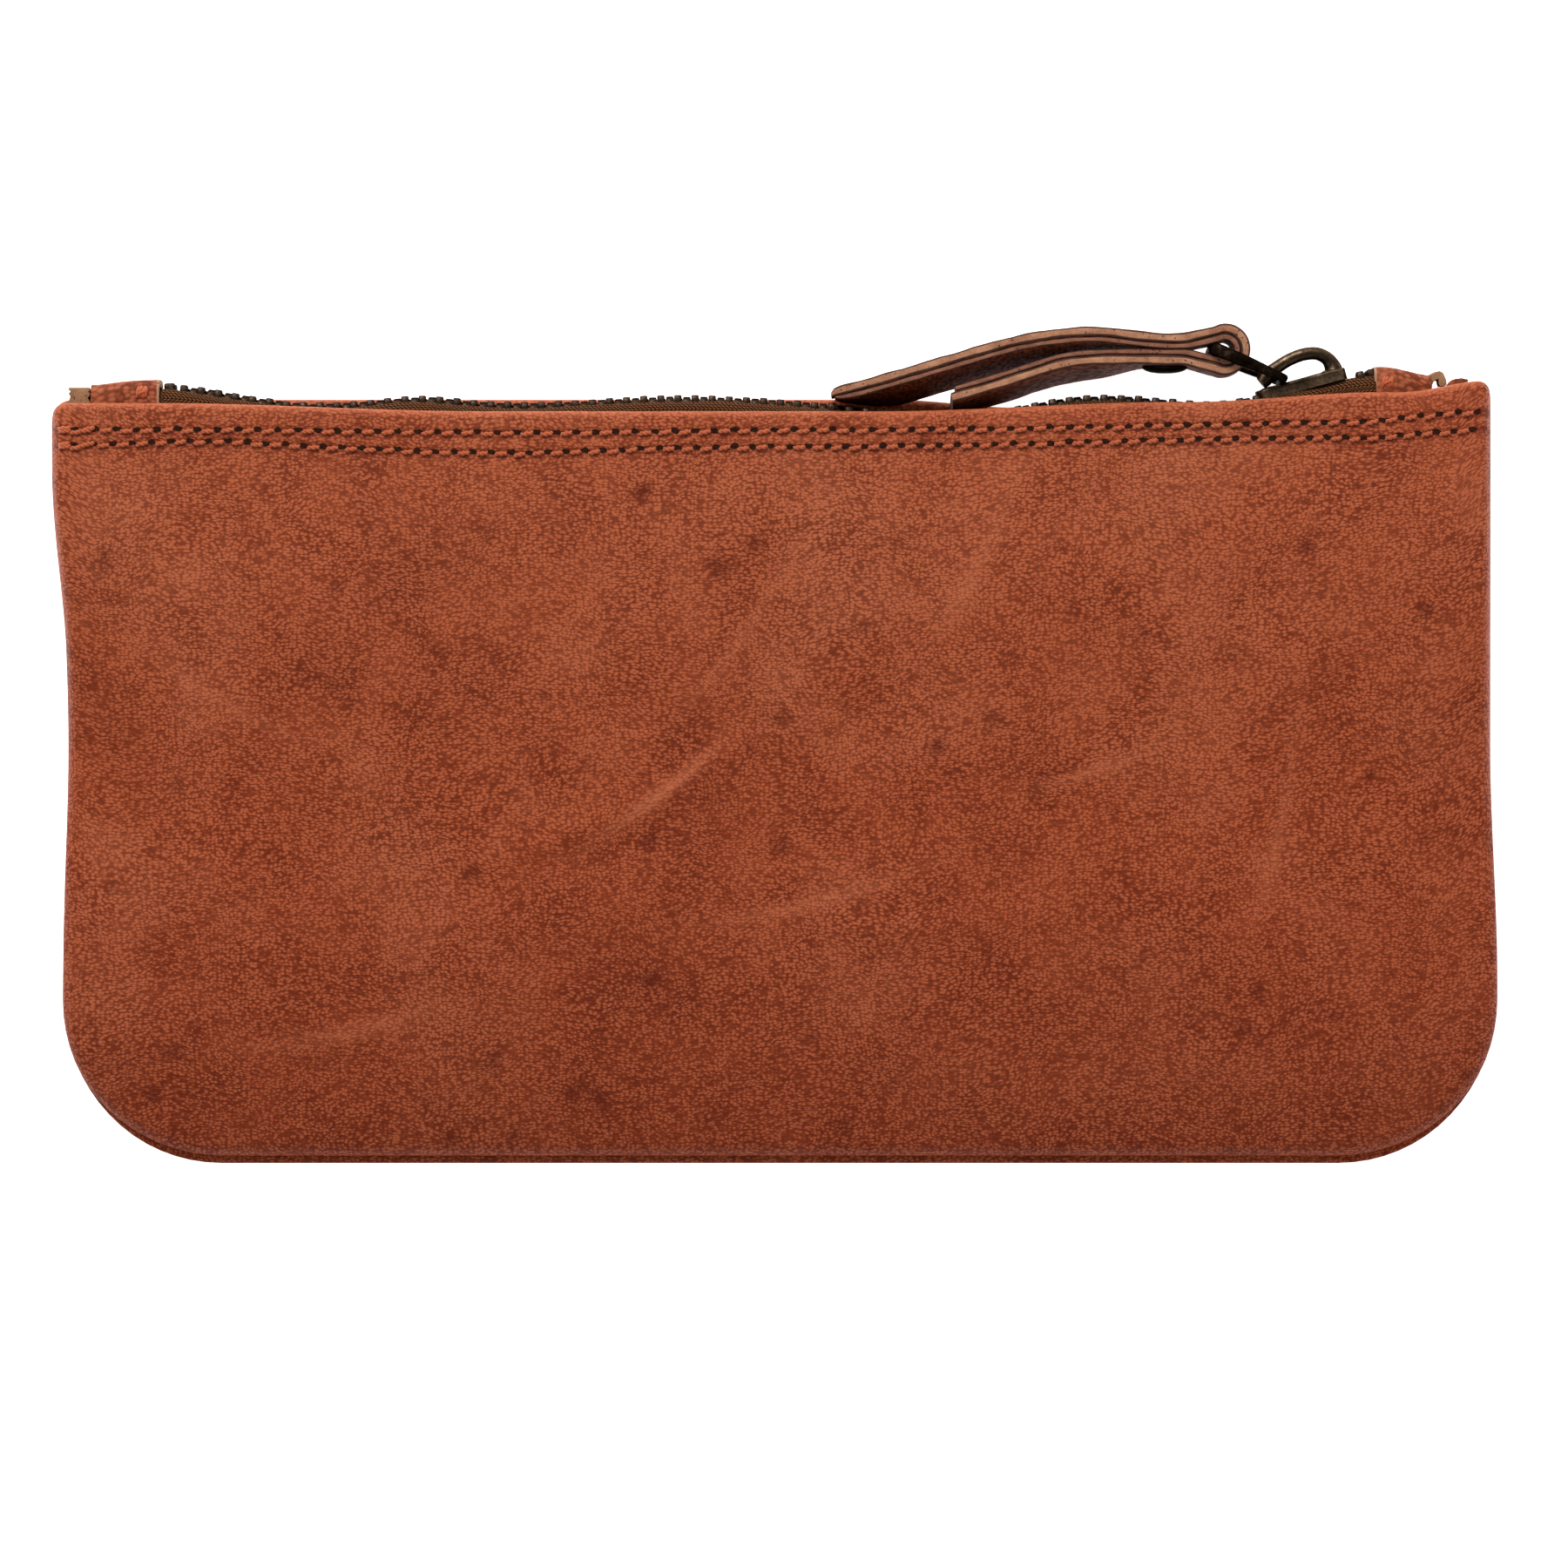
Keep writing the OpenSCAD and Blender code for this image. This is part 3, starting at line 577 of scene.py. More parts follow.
def wall(front):
    """One leather wall: its skin, its turned-in seam edge and its folded hem."""
    edge = front_edge if front else back_edge
    height = front_height if front else back_height
    sign = 1 if front else -1
    bottom = BOTTOM + 0.6 if front else BOTTOM - 0.55
    fold = 1.2
    inset = 6.0
    arcs, ups, cols = 16, 90, 170
    base_y, base_x = BOTTOM + CORNER, HALF_W - CORNER

    def top_of(x):
        corner = 3.0
        past = np.clip(np.abs(x) - (HALF_W - corner), 0, corner)
        return edge(x) - (corner - np.sqrt(corner**2 - past**2))

    def place(x, row, d):
        """Place of a point on that row: on the corner's arc, then up the side."""
        if row <= arcs:
            return base_y - (CORNER - d) * math.cos(math.pi / 2 * row / arcs)
        t = (row - arcs) / ups
        return base_y + (top_of(x) - fold - base_y) * t

    def width(row, d):
        return base_x + (CORNER - d) * math.sin(math.pi / 2 * min(row, arcs) / arcs)

    rows = arcs + ups + 1
    u = np.linspace(-1, 1, cols)
    xy = np.zeros((rows, cols, 2))
    for j in range(rows):
        x = width(j, inset) * u
        xy[j, :, 0] = x
        xy[j, :, 1] = place(x, j, inset)
    levels = [4.6, 3.5, 2.6, 1.9, 1.35, 0.9, 0.55, 0.3, 0.13, 0.03, 0.0]
    ring_xy = []
    for d in levels:
        ring = [(-width(j, d), place(np.float64(-width(j, d)), j, d)) for j in range(rows - 1, -1, -1)]
        ring += [(base_x * s, BOTTOM + d) for s in u[1:-1]]
        ring += [(width(j, d), place(np.float64(width(j, d)), j, d)) for j in range(rows)]
        ring_xy.append(ring)
    ring_xy = np.array(ring_xy, float)

    def lift(p, d=None):
        d = seam_distance(p[..., 0], p[..., 1]) if d is None else d
        z = height(p[..., 0], p[..., 1], d)
        # The bottom edge is a little further in or out than the plain outline.
        y = p[..., 1] + (bottom - BOTTOM) * smooth(1 - (p[..., 1] - BOTTOM) / 16)
        return np.stack([side_warp(p[..., 0], y), y, z], -1)

    inner = lift(xy)
    rings = [lift(r, np.full(len(r), d)) for r, d in zip(ring_xy, levels)]
    # The seam allowance turns in along the parting plane.
    for d in (0.35, 1.4, 4.5):
        r = rings[len(levels) - 1].copy()
        centre = np.stack([np.clip(r[:, 0], -base_x, base_x), np.maximum(r[:, 1], base_y), r[:, 2]], -1)
        out = r - centre
        n = np.hypot(out[:, 0], out[:, 1])[:, None]
        r[:, :2] -= out[:, :2] / np.maximum(n, 1e-6) * d
        r[:, 2] = SEAM_Z + sign * 0.1
        rings.append(r)

    verts = [inner.reshape(-1, 3)]
    uvs = [inner[..., :2].reshape(-1, 2)]
    faces = grid_faces(rows, cols, flip=not front)
    border = ([j * cols for j in range(rows - 1, -1, -1)] + [i for i in range(1, cols - 1)]
              + [j * cols + cols - 1 for j in range(rows)])
    count = rows * cols
    before = np.array(border)
    before_p = verts[0][before]
    before_uv = uvs[0][before]
    tops = [[before[0], before[-1]]]
    for r in rings:
        step = r - before_p
        flat = step[:, :2]
        out = ring_xy[-1] - ring_xy[0]
        out = out / np.linalg.norm(out, axis=1)[:, None]
        uv = before_uv + out * np.linalg.norm(step, axis=1)[:, None]
        now = count + np.arange(len(r))
        for i in range(len(r) - 1):
            quad = (before[i], now[i], now[i + 1], before[i + 1])
            faces.append(quad if front else quad[::-1])
        verts.append(r)
        uvs.append(uv)
        before, before_p, before_uv = now, r, uv
        count += len(r)
        tops.append([now[0], now[-1]])
    # The hem folds over the top row and runs down inside.
    ring_tops = tops[1:len(levels) + 1]
    top_row = ([t[0] for t in ring_tops[::-1]] + [(rows - 1) * cols + i for i in range(cols)]
               + [t[1] for t in ring_tops])
    v, uv = np.vstack(verts), np.vstack(uvs)
    start, start_uv = v[top_row], uv[top_row]
    r = np.clip((np.abs(start[:, 2] - SEAM_Z) - 0.12) / 2, 0.02, fold)
    strips, strips_uv = [], []
    for a in (15, 30, 45, 60, 75, 90, 105, 120, 135, 150, 165, 180):
        a = math.radians(a)
        p = start.copy()
        p[:, 1] += fold * math.sin(a)
        p[:, 2] -= sign * r * (1 - math.cos(a))
        strips.append(p)
        strips_uv.append(start_uv + np.stack([0 * r, fold * a + 0 * r], -1))
    for k in range(1, 8):
        p = start.copy()
        p[:, 1] -= (start[:, 1] - HEM_Y) * k / 7
        p[:, 0] *= 1 - 0.045 * min(k, 2) / 2
        d = HALF_W - np.abs(p[:, 0])
        z = height(p[:, 0], p[:, 1], np.maximum(d, 0))
        under = np.maximum(2 * r, np.minimum(2.0, 0.7 * np.abs(z - SEAM_Z)))
        p[:, 2] = z - sign * under
        strips.append(p)
        strips_uv.append(start_uv + np.stack([0 * r, fold * math.pi + (start[:, 1] - HEM_Y) * k / 7], -1))
    before = np.array(top_row)
    for p, w in zip(strips, strips_uv):
        now = count + np.arange(len(p))
        for i in range(len(p) - 1):
            quad = (before[i], before[i + 1], now[i + 1], now[i])
            faces.append(quad if front else quad[::-1])
        v, uv = np.vstack([v, p]), np.vstack([uv, w])
        before = now
        count += len(p)
    x = v[:, 0]
    # How much each point is painted lighter by the creases' painted highlights; less on the back wall.
    rubbed = sum(k * crease(x, v[:, 1], at, turn, long, wide) for at, turn, long, wide, k in CREASE_HIGHLIGHTS)
    uv[:, 1] -= edge(uv[:, 0])
    shape = Shape().add(v, faces, uv, 0,
                        upper_gap=v[:, 1] - upper_row(x) + np.where(uv[:, 1] > -0.8, 9, 0),
                        lower_gap=v[:, 1] - lower_row(x) + np.where(uv[:, 1] > -0.8, 9, 0),
                        edge_gap=np.abs(v[:, 1] - edge(x)), rubbed=rubbed if front else 0.6 * rubbed)
    name = "front_wall_leather" if front else "back_wall_leather"
    return shape.build(name, [WALL if front else BACK_WALL])


front_wall = wall(True)
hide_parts("front_panel")
back_wall = wall(False)
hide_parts("back_panel")


def opens(obj):
    """obj is part of the front wall's side of the mouth; its transform is baked into its mesh."""
    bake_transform(obj)
    return obj


opens(front_wall)
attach(back_wall, "back_wall")


# ---- Lining ------------------------------------------------------------------------


def lining(front):
    sign = 1 if front else -1
    height = front_height if front else back_height
    us = np.linspace(-1, 1, 90)
    vs = np.linspace(0, 1, 60)
    pts, uvs = [], []
    for t in vs:
        y = BOTTOM + 7 + (HALF_H - 4 - BOTTOM - 7) * t
        r = CORNER - 6.5
        low = max(0.0, BOTTOM + CORNER - y)
        w = HALF_W - CORNER + math.sqrt(max(r * r - low * low, 4.0)) if low else HALF_W - 6.5
        x = w * us
        d = seam_distance(x, np.full_like(x, y))
        z = height(x, np.full_like(x, y), d) - sign * (1.55 + 1.95 * smooth((y - HEM_Y + 1.5) / 2.0))
        z = z - sign * 0.12 * (1 + waves(x, y, 9, 21 + front)) * smooth((d - 7) / 4)
        z = np.where(sign * (z - SEAM_Z) < 0.2, SEAM_Z + sign * 0.2, z)
        pts.append(np.stack([x, np.full_like(x, y), z], -1))
        uvs.append(np.stack([x, np.full_like(x, y)], -1))
    shape = Shape().add(np.array(pts), grid_faces(60, 90, flip=front), np.array(uvs))
    obj = shape.build("front_lining_cloth" if front else "back_lining_cloth", [CLOTH])
    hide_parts("front_lining" if front else "back_lining")
    return opens(obj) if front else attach(obj, "back_wall")


lining(True)
lining(False)


# ---- Stitches ----------------------------------------------------------------------


def surface_z(front, x, y):
    d = seam_distance(x, y)
    return (front_height if front else back_height)(x, y, d)


def stitch_row(name, node, row, front, pitch, seed=1):
    """A row of twisted threads, each diving into its needle holes."""
    r = np.random.default_rng(seed)
    sign = 1 if front else -1
    shape = Shape()
    holes = Shape()
    reach = HALF_W - 1.6
    proud = 0.14 if front else -0.42
    xs = np.arange(-reach + 1.0, reach - 0.8, pitch)
    runs = [(x, r.uniform(-0.1, 0.1), 1.0) for x in xs]
    # Back-tack at the left end.
    runs += [(-reach + 0.9, 0.35, 0.95), (-reach + 2.6, -0.28, 0.9), (-reach + 4.6, 0.3, 0.85)]
    t = np.linspace(0, 1, 9)
    for x0, off, size in runs:
        length = pitch * 0.72 * size * r.uniform(0.94, 1.06)
        slant = math.radians(r.uniform(3, 12))
        cx = x0 + (t - 0.5) * length
        y = row(cx) + off + (t - 0.5) * length * math.tan(slant)
        rise = proud + 0.2 * np.sin(math.pi * t) - 0.6 * np.abs(2 * t - 1) ** 7
        z = surface_z(front, cx, y) + sign * rise
        centre = np.stack([side_warp(cx, y), y, z], -1)
        for ply in (0, math.pi):
            phase = ply + 2 * math.pi * 1.35 * t + x0
            c = centre + 0.15 * np.stack([0 * t, np.cos(phase), np.sin(phase)], -1)
            ring = np.array([(math.cos(a), math.sin(a)) for a in np.linspace(0, 2 * math.pi, 7)[:-1]])
            thick = 0.24 * (0.72 + 0.28 * np.sin(math.pi * t))
            rings = c[:, None, :] + np.concatenate(
                [np.zeros((9, 6, 1)), ring[None] * thick[:, None, None]], -1)
            loft(shape, rings)
        # The hole lies after the thread, a little above its line: a flat dark disc on the skin, painted
        # shade for the inside of the hole.
        hx = x0 + pitch * 0.5 + r.uniform(-0.1, 0.1)
        if hx > reach - 1.2 or size < 1:
            continue
        n = 11
        a = np.linspace(0, 2 * math.pi, n, endpoint=False)
        k = r.uniform(0.72, 1.25, n)
        px = hx + 0.70 * k * np.cos(a)
        py = row(hx) + 0.26 + off + 0.42 * k * np.sin(a)
        pz = surface_z(front, px, py) + sign * 0.045
        my = row(hx) + 0.28 + off
        mid = np.array([[side_warp(hx, my), my, surface_z(front, np.float64(hx), my) + sign * 0.06]])
        pts = np.vstack([np.stack([side_warp(px, py), py, pz], -1), mid])
        fan = [(i, (i + 1) % n, n) for i in range(n)]
        holes.add(pts, fan if front else [f[::-1] for f in fan])
    obj = shape.build(name, [THREAD])
    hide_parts(node)
    hole_shade_obj = holes.build(name + "_holes", [HOLE_SHADE])
    if front:
        opens(obj)
        opens(hole_shade_obj)
    else:
        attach(obj, "back_wall")
        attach(hole_shade_obj, "back_wall")


stitch_row("front_upper_thread", "front_upper_stitching", upper_row, True, 3.0, seed=11)
stitch_row("front_lower_thread", "front_lower_stitching", lower_row, True, 2.83, seed=12)
stitch_row("back_upper_thread", "back_upper_stitching", upper_row, False, 3.0, seed=13)
stitch_row("back_lower_thread", "back_lower_stitching", lower_row, False, 2.83, seed=14)


# ---- Zip ---------------------------------------------------------------------------

FLAT = 4.0  # how far the tape lies flat on either side of the zip's middle


def tape(front):
    sign = 1 if front else -1
    xs = np.concatenate([np.linspace(ZIP_LEFT - 6.5, ZIP_LEFT - 0.3, 6),
                         np.linspace(ZIP_LEFT + 0.4, ZIP_RIGHT - 0.4, 230),
                         np.linspace(ZIP_RIGHT + 0.3, ZIP_RIGHT + 6, 6)])
    rings = []
    for x in xs:
        y = float(chain_line(x))
        w = FLAT if ZIP_LEFT < x < ZIP_RIGHT else 2.4
        y -= 0 if ZIP_LEFT < x < ZIP_RIGHT else 0.5
        ripple = 0.12 * float(waves(x, 0, 7, 31 + front))
        mid = [(0.85, y), (1.6, y), (2.4, y - 0.02), (3.0, y - 0.08 + ripple),
               (w - 0.45, y - 0.28 + ripple),
               (w - 0.05, y - 0.75), (w + 0.12, y - 1.5), (w + 0.15, y - 3.2), (w + 0.15, HEM_Y + 4),
               (w + 0.1, HEM_Y + 1)]
        m = spline(mid, 2)
        t = tangents(m)
        n = np.stack([-t[:, 1], t[:, 0]], -1)
        half = 0.24
        loop = np.vstack([m - n * half, (m + n * half)[::-1]])
        rings.append([(x, p[1], ZIP_Z + sign * p[0]) for p in loop])
    shape = Shape()
    loft(shape, rings, flip=not front)
    obj = shape.build("front_zip_tape" if front else "back_zip_tape", [TAPE])
    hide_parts("front_tape" if front else "back_tape")
    return opens(obj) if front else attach(obj, "back_wall")


tape(True)
tape(False)


def tooth_parts(shape, x, slope, y, sign, shift=0.0):
    """One metal tooth: a cupped head past the zip's middle, and two legs clamped on the tape."""
    prof = np.array([(-0.95, 0.30), (-0.80, 0.62), (-0.40, 0.80), (0.15, 0.66), (0.65, 0.60), (1.05, 0.78),
                     (1.45, 1.08), (2.3, 1.14), (2.95, 1.02), (3.15, 0.72), (3.15, 0.30)])
    prof = np.vstack([prof, prof[::-1] * (1, -1)])
    n = len(prof)
    centre = prof.mean(0)
    rings = []
    for a, k in ((-0.56, 0.80), (-0.50, 0.93), (-0.36, 1.0), (0.36, 1.0), (0.50, 0.93), (0.56, 0.80)):
        p = centre + (prof - centre) * (1 - (1 - k) * 0.55)
        rings.append(np.stack([np.full(n, a), p[:, 1], sign * (p[:, 0] + shift)], -1))
    rings = np.array(rings)
    # A small dome on the head's one face.
    head = (np.abs(rings[..., 2]) < 0.9) & (np.arange(6)[:, None] == 5)
    rings[..., 0] += np.where(head, 0.12, 0)
    c, s = math.cos(slope), math.sin(slope)
    out = np.empty_like(rings)
    out[..., 0] = x + rings[..., 0] * c - rings[..., 1] * s
    out[..., 1] = y + rings[..., 0] * s + rings[..., 1] * c
    out[..., 2] = ZIP_Z + rings[..., 2]
    loft(shape, out, flip=sign < 0)
    return np.full(6 * n, x)


PITCH = 2.6


def teeth(front):
    sign = 1 if front else -1
    shape, along = Shape(), []
    start = ZIP_LEFT + 3.6 + (0 if front else PITCH / 2)
    for x in np.arange(start, SLIDER_AT[0] + 2.5, PITCH):
        slope = math.atan(float(chain_line(x + 0.5) - chain_line(x - 0.5)))
        wobble = rng.uniform(-0.06, 0.06)
        along.append(tooth_parts(shape, x + wobble * 0.5, slope + wobble * 0.4,
                                 float(chain_line(x)) + wobble, sign))
    # The last tooth has parted from its neighbour, between the slider and the stop.
    x = ZIP_RIGHT - 2.6 + (0 if front else 0.3)
    along.append(tooth_parts(shape, x, 0.2, float(chain_line(x)), sign, 0.5))
    obj = shape.build("front_zip_teeth" if front else "back_zip_teeth", [TOOTH], 40)
    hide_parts("front_teeth" if front else "back_teeth")
    return opens(obj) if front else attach(obj, "back_wall")


teeth(True)
teeth(False)


def clip(name, node, x, low, high, body, wide=1.5, tall=2.5, turn=0.2):
    """A metal clip squeezed over the zip, from low to high across it."""
    shape = Shape()
    y = float(chain_line(x))
    section = rounded_section(wide, tall, 0.35, 3)
    rings = []
    for z, k in ((low, 0.72), (low + 0.12, 0.9), (low + 0.35, 1.0), ((low + high) / 2, 0.93),
                 (high - 0.35, 1.0),
                 (high - 0.12, 0.9), (high, 0.72)):
        p = section * k
        rings.append([(x + q[0] * math.cos(turn) - q[1] * math.sin(turn),
                       y + q[0] * math.sin(turn) + q[1] * math.cos(turn), ZIP_Z + z) for q in p])
    loft(shape, rings)
    obj = shape.build(name, [TOOTH], 45)
    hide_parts(node)
    return opens(obj) if body == "front_wall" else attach(obj, body)


clip("front_top_stop_clip", "front_top_stop", ZIP_RIGHT - 0.9, 0.5, 3.1, "back_wall", 1.3, 2.7)
clip("back_top_stop_clip", "back_top_stop", ZIP_RIGHT - 0.9, -3.1, -0.5, "back_wall", 1.3, 2.7)
clip("bottom_stop_clip", "bottom_stop", ZIP_LEFT + 1.5, -2.5, 2.5, "back_wall", 1.7, 2.5, 0.05)


# ---- End tabs ----------------------------------------------------------------------


def saddle(name, node, x0, x1, top, foot, half, waves_seed, extra=None):
    """Leather folded over the end of the zip, with cut ends."""
    shape = Shape()
    thick = 1.1
    rings = []
    xs = np.concatenate([[x0, x0 + 0.35], np.linspace(x0 + 1, x1 - 1, 16), [x1 - 0.35, x1]])
    for i, x in enumerate(xs):
        t = float(top(x))
        r = 1.5
        h = half - 0.12 * math.sin(i * 0.9) + 0.1 * float(waves(x, 0, 3, waves_seed))
        outer = [(h, foot), (h, foot + (t - r - foot) * 0.5)]
        outer += [(h - r + r * math.cos(a), t - r + r * math.sin(a))
                  for a in np.linspace(0, math.pi / 2, 6)]
        outer += [(0, t + 0.06)]
        outer = np.array(outer)
        outer = np.vstack([outer, outer[-2::-1] * (-1, 1)])
        tn = tangents(outer)
        inner = outer - np.stack([tn[:, 1], -tn[:, 0]], -1) * thick
        loop = np.vstack([outer, inner[::-1]])
        wave = 0.09 * np.array([float(waves(x, p[0] * 2, 4, waves_seed + 1)) for p in loop])
        rings.append([(x, p[1] + w, ZIP_Z + p[0]) for p, w in zip(loop, wave)])
    rings = np.array(rings)
    # The cut ends are a little rounded.
    for i, j in ((0, 1), (-1, -2)):
        rings[i, :, 1:] = rings[i, :, 1:] + (rings[j, :, 1:].mean(0) - rings[i, :, 1:]) * 0.02
    loft(shape, rings, 0, cap_mat=1)
    sides = rings.shape[1]
    pale = (range(0, sides) if node == "right_end_tab"
            else range((len(xs) - 2) * sides, (len(xs) - 1) * sides))
    for i in pale:
        shape.m[i] = 1
    if extra:
        extra(shape)
    obj = shape.build(name, [TAB, TAB_CUT, RAW], 50)
    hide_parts(node)
    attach(obj, "back_wall")


def scrap(shape, path, z0, z1, thick, mat, seed):
    """A rough end of leather, seen on its cut edge, along path."""
    line = spline(path, 4)
    t = tangents(line)
    n = np.stack([-t[:, 1], t[:, 0]], -1)
    zs = np.linspace(z0, z1, 7)
    rings = []
    for i, p in enumerate(line):
        k = thick / 2 * (1 + 0.12 * math.sin(i * 1.7 + seed))
        a = [(p[0] + n[i, 0] * k, p[1] + n[i, 1] * k + 0.12 * math.sin(z * 2 + i + seed), z) for z in zs]
        b = [(p[0] - n[i, 0] * k, p[1] - n[i, 1] * k + 0.12 * math.sin(z * 2 + i + seed), z)
             for z in zs[::-1]]
        rings.append(a + b)
    loft(shape, rings, mat)


TAB_FOOT = HALF_H - 3.2
LEFT_END = box_mm("left_end_tab")[0][0]
RIGHT_END = box_mm("right_end_tab")[1][0]


def left_scrap(shape):
    x = LEFT_END
    scrap(shape, [(x - 0.4, HALF_H - 1.0), (x - 0.55, HALF_H + 0.8), (x - 0.5, HALF_H + 2.0),
                  (x - 0.5, HALF_H + 2.9)],
          ZIP_Z - 2.2, ZIP_Z + 2.4, 3.0, 2, 1.0)


def right_scrap(shape):
    x = RIGHT_END - 3.0
    y = HALF_H + 0.2
    scrap(shape, [(x + 0.2, y), (x + 0.3, y + 2.4), (x + 0.9, y + 4.3), (x + 2.2, y + 4.5),
                  (x + 2.6, y + 3.1)],
          ZIP_Z - 2.0, ZIP_Z + 2.6, 1.1, 2, 2.0)
    scrap(shape, [(x + 2.2, y + 0.5), (x + 3.4, y + 2.3), (x + 4.8, y + 3.5), (x + 6.4, y + 3.4)],
          ZIP_Z - 2.6, ZIP_Z + 1.6, 1.3, 0, 3.0)


saddle("left_zip_tab", "left_end_tab", ZIP_LEFT - 10.4, ZIP_LEFT,
       lambda x: HALF_H + 3.4 + 0.7 * smooth((x - ZIP_LEFT + 10) / 9), TAB_FOOT, 4.25, 41, left_scrap)
saddle("right_zip_tab", "right_end_tab", ZIP_RIGHT - 0.6, ZIP_RIGHT + 8.0,
       lambda x: HALF_H + 6.1 - 1.3 * smooth((x - ZIP_RIGHT - 0.6) / 8), TAB_FOOT, 4.25, 47, right_scrap)


def tack(name, node, x, low, high, z):
    """Bar tack: short threads laid side by side, over a crossing one."""
    shape = Shape()
    ring = np.array([(math.cos(a), math.sin(a)) for a in np.linspace(0, 2 * math.pi, 9)[:-1]])
    t = np.linspace(0, 1, 9)
    for i, off in enumerate((-0.62, -0.2, 0.22, 0.6)):
        y = low + (high - low) * t + 0.1 * math.sin(i * 2.3)
        cx = x + off + (0.45 - 0.2 * i) * (t - 0.5) + 0.06 * np.sin(7 * t + i)
        cz = z + 0.06 + 0.2 * np.sin(math.pi * t) - 0.5 * np.abs(2 * t - 1) ** 6
        rings = [[(a + 0.24 * q[0], b, c + 0.24 * q[1]) for q in ring] for a, b, c in zip(cx, y, cz)]
        loft(shape, rings)
    cx = x - 0.95 + 1.9 * t
    cy = low + (high - low) * (0.3 + 0.4 * t)
    cz = z + 0.30 + 0.12 * np.sin(math.pi * t) - 0.55 * np.abs(2 * t - 1) ** 6
    rings = [[(a, b + 0.22 * q[0], c + 0.22 * q[1]) for q in ring] for a, b, c in zip(cx, cy, cz)]
    loft(shape, rings)
    obj = shape.build(name, [THREAD])
    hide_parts(node)
    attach(obj, "back_wall")


tack("left_bar_tack", "left_tab_tack", ZIP_LEFT - 2.6, HALF_H + 1.1, HALF_H + 3.1, ZIP_Z + 4.25)
tack("right_bar_tack", "right_tab_tack", ZIP_RIGHT + 1.4, HALF_H + 2.7, HALF_H + 4.7, ZIP_Z + 4.25)


# ---- Slider ------------------------------------------------------------------------


def from_slider(points):
    """Points from the slider's own frame: along the zip, out of the pouch, across."""
    p = np.asarray(points, float)
    c, s = math.cos(SLIDER_TILT), math.sin(SLIDER_TILT)
    out = np.empty_like(p)
    out[..., 0] = SLIDER_AT[0] + p[..., 0] * c - p[..., 1] * s
    out[..., 1] = SLIDER_AT[1] + p[..., 0] * s + p[..., 1] * c
    out[..., 2] = ZIP_Z + p[..., 2]
    return out


def half_width(a, wide):
    """Half of the slider's width at a, from its rear to its mouths."""
    u = (a + 6.9) / 13.8
    body = 3.35 + (wide - 3.35) * smooth((u - 0.42) / 0.3)
    ends = np.sqrt(np.clip(1 - (np.clip(np.abs(2 * u - 1) - 0.84, 0, 1) / 0.17) ** 2, 0.0, 1))
    return body * (0.5 + 0.5 * ends)


def slider_body():
    shape = Shape()
    e = 6.9
    steps = 34
    xs = -e * np.cos(np.linspace(0, math.pi, steps))
    # Top plate with its flanges: a shallow channel turned down over the tape.
    for top, wide, thick in ((1, 4.45, 1.0), (-1, 3.75, 0.95)):
        rings = []
        base = 1.35
        for a in xs:
            w = half_width(a, wide)
            dish = 0.16 * smooth((abs(a) - 4.5) / 2.4)
            out = base + thick - dish
            r = 0.42
            loop = [(w, 0.5), (w, out - r)]
            loop += [(w - r + r * math.cos(q), out - r + r * math.sin(q)) for q in np.linspace(0.3,
                                                                                               math.pi / 2,
                                                                                               4)]
            loop += [(w * 0.4, out + 0.05), (0, out + 0.08)]
            loop = np.array(loop)
            loop = np.vstack([loop, loop[-2::-1] * (-1, 1)])
            i = max(w - 0.85, 0.3)
            inner = np.array([(-w + 0.1, 0.42), (-i, 0.46), (-i, base), (0, base + 0.02), (i, base),
                              (i, 0.46), (w - 0.1, 0.42)])
            loop = np.vstack([loop, inner])
            rings.append(from_slider([(a, top * p[1], p[0]) for p in loop]))
        loft(shape, rings, flip=top > 0)
    # The divider between the plates.
    rings = []
    for a, w in ((2.6, 0.12), (3.4, 0.4), (4.6, 0.75), (5.9, 0.8), (6.7, 0.55)):
        rings.append(from_slider([(a, -1.45, -w), (a, -1.45, w), (a, 1.45, w), (a, 1.45, -w)]))
    loft(shape, rings)
    obj = shape.build("zip_slider", [SLIDER], 38)
    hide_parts("slider_body")
    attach(obj, "slider")


slider_body()


def swept(path, widths, heights, frame_of, steps=3, power=0.42):
    """Rings of rounded rectangles along a flat path."""
    t = tangents(path)
    n = np.stack([-t[:, 1], t[:, 0]], -1)
    rings = []
    for p, q, w, h in zip(path, n, widths, heights):
        sec = rounded_section(h, w, power * min(h, w), steps)
        rings.append(frame_of([(p[0] + q[0] * s[0], p[1] + q[1] * s[0], s[1]) for s in sec]))
    return rings


